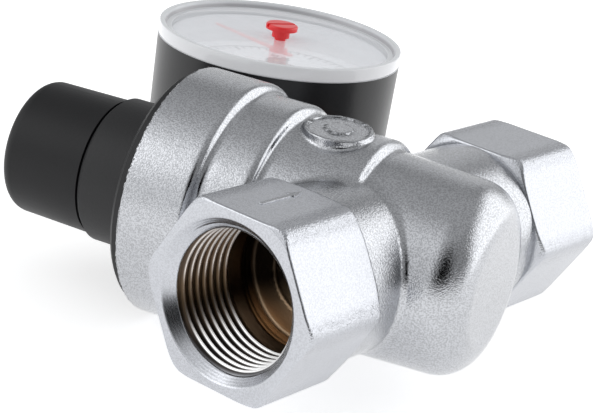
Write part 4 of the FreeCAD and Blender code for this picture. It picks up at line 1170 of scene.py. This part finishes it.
@dataclass
class PortFitting(Assembly):
    """One hexagon end: bevelled flats, faced mouth, chamfer and the cut G3/4 thread.

    Depths are measured inwards from the mouth. Rows of points lie at the gaps from each edge of
    the hexagon and, nudged, at the shares of the way over its cone. The pairs of the lip, the
    cone's ease and the exit are steps away from the axis and along it.
    """

    name: str = "inlet"
    mount: str = "inlet_thread"
    apothem: float = 16.0
    length: float = 20.0
    bevel: Bevel = Bevel(17.1, 1.2, 18.975)
    back_bevel: Bevel = Bevel(16.3, 1.4, 18.5)
    corner: float = 2.2
    edge: float = 0.4
    gaps: tuple[float, ...] = (1.2, 0.6, 0.3, 0.15, 0.04)
    cone_shares: Triple = (0.3, 0.5, 0.7)
    nudge: Zone = (0.04, 0.02)
    flattest: float = 0.3
    lip: tuple[Zone, ...] = ((0.4, 0.0), (0.12, 0.0), (-0.03, 0.05))
    mouth: float = 14.4
    major: float = 13.22
    minor: float = 12.06
    pitch: float = 1.814
    flat: float = 0.10
    rounding: float = 0.4
    bore: float = 9.5
    depth: float = 15.3
    first_turn: float = 0.2
    fade: float = 0.5
    relief: float = 16.5
    ease: float = 0.15
    cone: float = 2.0
    cone_ease: Zone = (0.2, 0.1)
    exit: Zone = (0.3, 0.02)
    face: float = 0.10
    colour: Colour = (0.555, 0.567, 0.60, 1.0)
    thread_rows: int = 10
    corner_points: int = 6
    flat_points: int = 28
    middle_rows: int = 7
    rounds: int = 6
    probe: float = 0.01

    def columns(self) -> Pair:
        """Walk round a hexagon with rounded corners.

        Returns:
            The columns' angles and radii.
        """
        outline = []
        side = 360.0 / SIDES
        reach = (self.apothem - self.corner) / math.cos(math.pi / SIDES)
        corners = [reach * heading(side * number) for number in range(SIDES + 1)]
        turns = np.linspace(-side / 2.0, side / 2.0, self.corner_points)
        shares = np.linspace(0.0, 1.0, self.flat_points + 2)[1:-1]
        for number, (here, there) in enumerate(zip(corners, corners[1:])):
            arc = [here + self.corner * heading(side * number + turn) for turn in turns]
            outline += arc + [arc[-1] + share * (there - here) for share in shares]
        x, y = np.array(outline).T
        return np.arctan2(y, x), np.hypot(x, y)

    def outer_rows(self, flat: np.ndarray, end: bool) -> list[Pair]:
        """Return the rows (radius, depth) round one end of the hexagon, from its face outwards.

        Args:
            flat: Radius of the hexagon at each column.
            end: True for the end away from the mouth.

        Returns:
            The rows.
        """
        start, drop, corner = self.back_bevel if end else self.bevel
        cut = math.hypot(drop, corner - start)
        first = np.minimum(start, flat)
        meet = np.maximum(0.0, (flat - start) * drop / (corner - start))
        rows = [(first - gap, np.zeros_like(flat)) for gap in self.gaps]
        for share in self.cone_shares:
            nudge = self.nudge[0] * share - self.nudge[1]
            rows.append((first + share * (flat - first) + nudge, share * meet + nudge))
        rows += [(flat, meet + gap) for gap in self.gaps[::-1]]

        def solid(radius: np.ndarray, depth: np.ndarray) -> np.ndarray:
            """Return the distance to the bevelled end."""
            cone = ((radius - start) * drop - depth * (corner - start)) / cut
            return round_max(round_max(radius - flat, -depth, self.edge), cone, self.edge)

        result = []
        for radius, depth in rows:
            for _ in range(self.rounds):
                level, by = solid(radius, depth), self.probe
                across = (solid(radius + by, depth) - solid(radius - by, depth)) / (2.0 * by)
                down = (solid(radius, depth + by) - solid(radius, depth - by)) / (2.0 * by)
                square = np.maximum(across ** 2 + down ** 2, self.flattest)
                radius, depth = radius - level * across / square, depth - level * down / square
            result.append((radius, self.length - depth if end else depth))
        return result

    def thread_radius(self, angle: np.ndarray, depth: float) -> np.ndarray:
        """Return the radius of the threaded bore.

        Args:
            angle: Angle of each column.
            depth: Depth from the mouth.

        Returns:
            Radius at each column.
        """
        phase = np.mod(depth / self.pitch - angle / (2.0 * math.pi), 1.0)
        wave = (np.abs(2.0 * phase - 1.0) - self.flat) / (1.0 - 2.0 * self.flat)
        wave = np.clip(wave, 0.0, 1.0)
        wave = wave * wave * (3.0 - 2.0 * wave) * self.rounding + wave * (1.0 - self.rounding)
        radius = self.minor + (self.major - self.minor) * wave
        radius = np.maximum(radius, self.mouth - depth)
        fade = min(1.0, max(0.0, (depth - self.depth + self.fade) / self.fade))
        return radius + fade * (self.major - radius)

    def inner_rows(self, angle: np.ndarray) -> list[Pair]:
        """Return the rows (radius, depth) down the thread, the cone and the bore.

        Args:
            angle: Angle of each column.

        Returns:
            The rows, from the mouth inwards.
        """
        rows = [(self.mouth + out, depth) for out, depth in self.lip]
        turns = int(self.depth / self.pitch * self.thread_rows)
        rows += [(self.thread_radius(angle, depth), depth)
                 for depth in np.linspace(self.first_turn, self.depth, turns).tolist()]
        wider, past = self.cone_ease
        flare, short = self.exit
        rows += [(self.major, self.relief - self.ease), (self.major - self.ease, self.relief),
                 (self.bore + wider, self.relief + self.cone - past),
                 (self.bore, self.relief + self.cone + past), (self.bore, self.length - short),
                 (self.bore + flare, self.length)]
        return [tuple(np.broadcast_arrays(radius, depth, angle)[:2]) for radius, depth in rows]

    def build(self) -> None:
        """Make the hexagon and the thread as one closed mesh, then dress it."""
        mount = next(item for item in self.frame["record"]["mounts"] if item["name"] == self.mount)
        inward = -Vector(mount["axis"])
        across = Vector((1.0, 0.0, 0.0))
        third = inward.cross(across)
        back = self.mouth - self.major + self.face
        origin = Vector(mount["pos_m"]) / MM - inward * back
        angle, flat = self.columns()
        rows, far = self.outer_rows(flat, False), self.outer_rows(flat, True)
        low, high = rows[-1][1], far[-1][1]
        shares = np.linspace(0.0, 1.0, self.middle_rows + 2)[1:-1]
        rows += [(flat, low + share * (high - low)) for share in shares]
        rows += far[::-1] + self.inner_rows(angle)[::-1]
        points = [np.array(origin) + np.outer(radius * np.cos(angle), across)
                  + np.outer(radius * np.sin(angle), third) + np.outer(depth, inward)
                  for radius, depth in rows]
        made = mesh_object(f"{self.name}_fitting", np.concatenate(points),
                           wrapped(len(rows), len(angle), True))
        metal = PortMetal(f"{self.name}_chrome", self.colour, tuple(origin), tuple(inward),
                          self.minor, self.major)
        self.keep(made, metal, Slot.CHROME, "valve_body")


@dataclass
class FlowArrow(Assembly):
    """The raised arrow on the top flat of the inlet hexagon, pointing along the flow."""

    start: float = 5.1
    end: float = 16.4
    across: float = -0.8
    shaft: float = 0.75
    head: float = 2.0
    head_length: float = 3.2
    top: float = 16.0
    proud: float = 0.20
    sunk: float = 0.1
    edge: float = 0.1
    edge_profile: float = 0.6

    def build(self) -> None:
        """Extrude the arrow's outline and round its edges."""
        neck = self.end - self.head_length
        half, wide = self.shaft / 2.0, self.head / 2.0
        outline = [(-half, self.start), (half, self.start), (half, neck), (wide, neck),
                   (0.0, self.end), (-wide, neck), (-half, neck)]
        work = bmesh.new()
        base = work.faces.new([
            work.verts.new(Vector((self.across + x, y, self.top - self.sunk)) * MM)
            for x, y in outline])
        raised = bmesh.ops.extrude_face_region(work, geom=[base])["geom"]
        raised = [item for item in raised if isinstance(item, bmesh.types.BMVert)]
        lift = Vector(Z_AXIS) * (self.proud + self.sunk) * MM
        bmesh.ops.translate(work, verts=raised, vec=lift)
        bmesh.ops.bevel(work, geom=list(work.edges), offset=self.edge * MM, segments=2,
                        profile=self.edge_profile, affect="EDGES")
        bmesh.ops.recalc_face_normals(work, faces=list(work.faces))
        mesh = bpy.data.meshes.new("flow_arrow")
        work.to_mesh(mesh)
        work.free()
        finish = BlastedChrome("arrow_chrome", CHROME, relief=0.10, gloss=0.28)
        self.keep(linked("flow_arrow", mesh), finish, Slot.CHROME)


@dataclass
class Strainer(Assembly):
    """The woven wire sleeve over the cage."""

    barrel: Barrel = Barrel()
    radius: float = 12.22
    wire: float = 0.13
    low: float = -17.35
    high: float = 7.75
    end: float = 0.2
    uprights: int = 96
    rings: int = 32

    def wires(self, bundle: Bundle, along: np.ndarray, across: np.ndarray, upright: bool) -> None:
        """Lay one wire at each place across, waving over and under the others.

        Args:
            bundle: Where they go, as points (radius offset, angle, height).
            along: Places of the points along every wire.
            across: Place of each wire.
            upright: True for wires along the sleeve, False for hoops round it.
        """
        half = self.wire
        side = (0.0, half / self.radius, 0.0) if upright else (0.0, 0.0, -half)
        corners = np.array([(-half, 0.0, 0.0), side, (half, 0.0, 0.0), np.negative(side)])
        faces = capped(len(along)) if upright else wrapped(len(along), 4, True)
        wave = half / 2.0 if upright else -half / 2.0
        for number, place in enumerate(across):
            over = np.where((np.arange(len(along)) + number) % 2, wave, -wave)
            fixed = np.full(len(along), place)
            line = np.stack([over, fixed, along] if upright else [over, along, fixed], axis=-1)
            bundle.add((line[:, None] + corners).reshape(-1, 3), faces)

    def build(self) -> None:
        """Weave the uprights and the hoops."""
        heights = np.linspace(self.low + self.end, self.high - self.end, self.rings)
        angles = np.arange(self.uprights) * 2.0 * math.pi / self.uprights
        weave = Bundle()
        self.wires(weave, heights, angles, True)
        self.wires(weave, angles, heights, False)
        radial, angle, height = np.concatenate(weave.points).T
        radial = radial + self.radius
        place = (self.barrel.centre + np.outer(height, self.barrel.up)
                 + np.outer(radial * np.cos(angle), self.barrel.side)
                 + np.outer(radial * np.sin(angle), Z_AXIS))
        finish = Moulding("wire_steel", (0.62, 0.60, 0.56, 1.0), gloss=0.35, grain=0.2,
                          relief=0.01)
        made = mesh_object("strainer_weave", place, weave.faces)
        self.keep(made, finish, Slot.STAINLESS, "strainer_mesh")


# ---- bonnet, knob and inner parts
@dataclass
class Controls(Assembly):
    """Bonnet, knob, adjusting gear, diaphragm and cartridge, carried over from the CAD model."""

    def build(self) -> None:
        """Dress the CAD nodes."""
        nylon = Moulding("black_nylon", (0.009, 0.009, 0.010, 1.0), gloss=0.44, grain=0.55,
                         relief=0.04, specular=0.42)
        knob = Moulding("black_knob", (0.006, 0.006, 0.007, 1.0), gloss=0.40, grain=0.45,
                        relief=0.025, specular=0.28)
        rubber = Moulding("seal_rubber", grey(0.02), gloss=0.62, grain=0.3, relief=0.015)
        fibre = Moulding("red_fibre", (0.42, 0.09, 0.06, 1.0), gloss=0.7, grain=0.4, relief=0.03)
        self.dress(nylon, "bonnet")
        self.dress(knob, "adjusting_knob")
        self.dress(Moulding("white_acetal", (0.80, 0.80, 0.77, 1.0), gloss=0.4), "slip_ring",
                   "cartridge_body", "cartridge_cap", "strainer_cage")
        self.dress(rubber, "diaphragm", "cartridge_seal", "obturator_seal", "piston_seal")
        self.dress(fibre, "gauge_gasket")
        self.dress(TurnedMetal("zinc_plate", (0.66, 0.67, 0.69, 1.0), gloss=0.3),
                   "adjusting_screw", "adjusting_spring", "spring_cup", "stem_nut")
        self.dress(TurnedMetal("turned_brass", (0.80, 0.58, 0.28, 1.0), gloss=0.22),
                   "spring_nut", "valve_stem", "obturator", "gauge_socket", "stop_pin",
                   "bourdon_tube", "tube_tip", "movement_lower_plate", "movement_upper_plate",
                   "movement_pillars", "sector_gear", "pinion", "link", "hairspring")


# ---- gauge
@dataclass
class Gauge(Assembly):
    """Gauge case, window, dial with its printing, pointer and red marker."""

    dial_top: float = 10.9
    ink_thickness: float = 0.06
    ink_sunk: float = 0.01
    scale_radius: float = 19.6
    tick: Zone = (2.6, 0.5)
    minor_tick: Zone = (1.5, 0.3)
    arcs: tuple[Zone, Zone] = ((19.95, 0.3), (9.0, 0.35))
    arc_points: int = 97
    top_value: int = 10
    ticks_per_value: int = 5
    start_angle: float = 225.0
    sweep: float = 270.0
    frame_turn: float = 67.0
    number_size: float = 3.6
    number_radius: float = 14.4
    lens_profile: tuple[Zone, ...] = (
        (23.35, 13.6), (24.15, 13.6), (24.15, 17.22), (25.85, 17.22), (25.85, 20.0),
        (24.75, 20.0), (24.3, 18.6), (1.3, 18.6), (1.3, 17.3), (23.35, 17.3))
    lens_edge: float = 0.3
    lens_columns: int = 180

    def centre(self) -> Points:
        """Return the middle of the gauge, from the pointer's joint."""
        joint = next(item for item in self.frame["joints"] if item["name"] == "pointer_turn")
        return np.array(Vector(joint["pos_m"]) / MM)

    def spot(self, angle: float, radius: float, aside: float, lift: float) -> Points:
        """Return a point over the dial.

        Args:
            angle: Dial angle in degrees.
            radius: Distance from the middle along the ray at that angle.
            aside: Distance from that ray.
            lift: Height over the dial.

        Returns:
            The point.
        """
        across, along = heading(angle + self.frame_turn)
        return self.centre() + np.array([radius * across - aside * along,
                                         radius * along + aside * across, self.dial_top + lift])

    def scale(self) -> bpy.types.Object:
        """Print the ticks and arcs as one mesh.

        Returns:
            The object.
        """
        ink = Bundle()
        low, high = -self.ink_sunk, self.ink_thickness - self.ink_sunk
        steps = self.top_value * self.ticks_per_value
        for number in range(steps + 1):
            angle = self.start_angle - self.sweep * number / steps
            long, wide = self.minor_tick if number % self.ticks_per_value else self.tick
            inner, outer, half = self.scale_radius - long, self.scale_radius, wide / 2.0
            ring = ((inner, -half), (outer, -half), (outer, half), (inner, half))
            ink.add(np.array([self.spot(angle, *corner, lift) for lift in (low, high)
                              for corner in ring]), capped(2))
        angles = np.linspace(self.start_angle - self.sweep, self.start_angle, self.arc_points)
        for radius, wide in self.arcs:
            inner, outer = radius - wide / 2.0, radius + wide / 2.0
            ring = ((inner, low), (inner, high), (outer, high), (outer, low))
            ink.add(np.array([self.spot(angle, size, 0.0, lift) for angle in angles
                              for size, lift in ring]), capped(self.arc_points))
        made = mesh_object("dial_scale", np.concatenate(ink.points), ink.faces)
        made.data.shade_flat()
        return made

    def number(self, value: int) -> bpy.types.Object:
        """Return one printed number, upright as the dial is read.

        Args:
            value: The number.

        Returns:
            Its mesh as an object.
        """
        curve = bpy.data.curves.new(f"number_{value}", "FONT")
        curve.body = str(value)
        curve.align_x = curve.align_y = "CENTER"
        curve.size = self.number_size * MM
        curve.extrude = self.ink_thickness / 2.0 * MM
        text = linked(curve.name, curve)
        bpy.context.view_layer.update()
        graph = bpy.context.evaluated_depsgraph_get()
        mesh = bpy.data.meshes.new_from_object(text.evaluated_get(graph))
        angle = self.start_angle - self.sweep * value / self.top_value
        spot = self.spot(angle, self.number_radius, 0.0, self.ink_thickness / 2.0)
        turn = Matrix.Rotation(math.radians(self.frame_turn), 4, "Z")
        mesh.transform(Matrix.Translation(Vector(spot) * MM) @ turn)
        bpy.data.objects.remove(text)
        mesh.name = f"dial_number_{value}"
        return linked(mesh.name, mesh)

    def lens(self) -> bpy.types.Object:
        """Turn the clear window with its raised, rounded rim and push-in skirt.

        Returns:
            The object.
        """
        profile = rounded_profile(self.lens_profile, self.lens_edge)
        turn = np.arange(self.lens_columns) * 2.0 * math.pi / self.lens_columns
        rings = [self.centre() + np.stack([size * np.cos(turn), size * np.sin(turn),
                                           np.full(self.lens_columns, height)], axis=-1)
                 for size, height in profile]
        return mesh_object("gauge_lens", np.concatenate(rings),
                           wrapped(len(profile), self.lens_columns, True))

    def build(self) -> None:
        """Dress the CAD nodes, set in the window and print the dial."""
        centre = tuple(self.centre())
        clear = ClearPlastic("window_plastic", (0.80, 0.82, 0.84, 1.0), centre)
        red = Moulding("marker_red", (0.85, 0.016, 0.020, 1.0), gloss=0.30, relief=0.01, coat=0.3)
        ink = Enamel("dial_ink", (0.03, 0.03, 0.035, 1.0), gloss=0.4)
        # the dial's painted glow brightens it under the window
        white = Enamel("dial_enamel", (0.80, 0.81, 0.83, 1.0), gloss=0.3, glow=0.19)
        self.dress(CaseMoulding("case_black", (0.007, 0.007, 0.008, 1.0), centre), "gauge_case")
        self.dress(clear, "gauge_window")
        self.keep(self.lens(), clear, Slot.WINDOW, "gauge_window")
        self.dress(white, "dial_plate")
        self.dress(Enamel("pointer_black", (0.02, 0.02, 0.022, 1.0)), "pointer")
        self.dress(red, "set_knob", "set_pointer")
        self.keep(self.scale(), ink, Slot.BLACK_PAINT)
        for value in range(0, self.top_value + 1, 2):
            self.keep(self.number(value), ink, Slot.BLACK_PAINT)


# ---- studio
class Lobe(NamedTuple):
    """A part of the sky that is brighter or darker: how far along its axis it begins and ends."""

    axis: Triple
    low: float
    high: float
    gain: float


@dataclass
class Studio:
    """Pale floor, soft boxes, sky and camera. Lengths are in mm."""

    floor_level: float = -24.05
    floor_size: float = 6000.0
    floor_glow: float = 0.58
    paper: Zone = (0.90, 0.92)
    paper_gloss: Zone = (0.9, 0.05)
    fibre: Grain = Grain(2.0, 3.0)
    sky_tone: Colour = (0.98, 0.99, 1.0, 1.0)
    sky_level: float = 0.36
    lobes: tuple[Lobe, ...] = (
        Lobe((0.50, 0.83, 0.22), 0.70, 0.88, 0.62), Lobe((-0.52, 0.80, 0.30), 0.90, 0.985, 0.34),
        Lobe((0.0, -0.10, 0.99), 0.50, 0.95, 0.16), Lobe((-0.40, -0.85, 0.30), 0.50, 0.90, 0.60),
        Lobe((-0.80, -0.30, 0.36), 0.60, 0.92, 0.24), Lobe((0.55, -0.76, 0.34), 0.84, 0.97, -0.40))
    aim: Triple = (-10.0, 45.0, 0.0)
    lens: float = 111.375
    sensor: float = 36.0
    clip: float = 10.0
    spot: Triple = (172.517, -222.689, 118.694)
    right: Triple = (0.76808, 0.62283, 0.14877)
    down: Triple = (0.32261, -0.17568, -0.93009)
    forward: Triple = (-0.55315, 0.76238, -0.33586)

    def floor(self) -> None:
        """Make the pale floor, wide enough that no horizon shows."""
        half = self.floor_size / 2.0
        corners = [(-half, -half), (half, -half), (half, half), (-half, half)]
        points = np.array([(*corner, self.floor_level) for corner in corners])
        made = mesh_object("studio_floor", points, [(0, 1, 2, 3)])
        material = bpy.data.materials.new("studio_paper")
        material.use_nodes = True
        paint = Paint(material.node_tree)
        fibre = paint.noise(self.fibre)
        paint.surface(Base_Color=paint.mix(fibre, *map(grey, self.paper)),
                      Roughness=self.paper_gloss[0] + self.paper_gloss[1] * fibre,
                      Emission_Color=grey(self.floor_glow), Emission_Strength=1.0)
        made.data.materials.append(material)

    def soft_box(self, name: str, spot: Triple, size: Zone, power: float) -> None:
        """Add a rectangular area light that faces the part.

        Args:
            name: The light's name.
            spot: Its place.
            size: Width and height.
            power: Power in watts.
        """
        light = bpy.data.lights.new(name, "AREA")
        light.shape = "RECTANGLE"
        light.size, light.size_y = size[0] * MM, size[1] * MM
        light.energy = power
        made = linked(name, light)
        made.location = Vector(spot) * MM
        aim = Vector(self.aim) - Vector(spot)
        made.rotation_euler = aim.to_track_quat("-Z", "Y").to_euler()

    def sky(self) -> None:
        """Fill the world with soft grey, brighter and darker in places."""
        world = bpy.data.worlds.new("studio")
        bpy.context.scene.world = world
        world.use_nodes = True
        paint = Paint(world.node_tree)
        direction = paint.add("ShaderNodeTexCoord", output="Generated")
        level: Level = self.sky_level
        for axis, low, high, gain in self.lobes:
            facing = paint.vector("DOT_PRODUCT", direction, axis, output="Value")
            level = level + gain * facing.ramp(low, high)
        back = paint.add("ShaderNodeBackground", None,
                         {"Color": self.sky_tone, "Strength": level})
        paint.add("ShaderNodeOutputWorld", None, {"Surface": back})

    def camera(self) -> None:
        """Place the camera."""
        camera = bpy.data.cameras.new("camera")
        camera.lens, camera.sensor_width = self.lens, self.sensor
        camera.clip_start = self.clip * MM
        turn = Matrix((self.right, -Vector(self.down), -Vector(self.forward))).transposed()
        made = linked("camera", camera)
        made.matrix_world = Matrix.Translation(Vector(self.spot) * MM) @ turn.to_4x4()
        bpy.context.scene.camera = made

    def build(self) -> None:
        """Make the floor, the lights, the sky and the camera."""
        self.floor()
        self.soft_box("key", spot=(420.0, 640.0, 240.0), size=(1000.0, 760.0), power=2.15)
        self.soft_box("fill", spot=(-420.0, -420.0, 330.0), size=(420.0, 420.0), power=0.5)
        self.sky()
        self.camera()
        bpy.context.scene.view_settings.view_transform = "Standard"


def main() -> None:
    """Build the valve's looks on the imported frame."""
    logging.basicConfig(level=logging.INFO, format="%(name)s: %(message)s")
    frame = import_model()
    Casting(frame).build()
    PortFitting(frame, bore=12.5).build()
    PortFitting(frame, "outlet", "outlet_thread").build()
    FlowArrow(frame).build()
    Strainer(frame).build()
    Controls(frame).build()
    Gauge(frame).build()
    Studio().build()


if __name__ == "__main__":
    main()
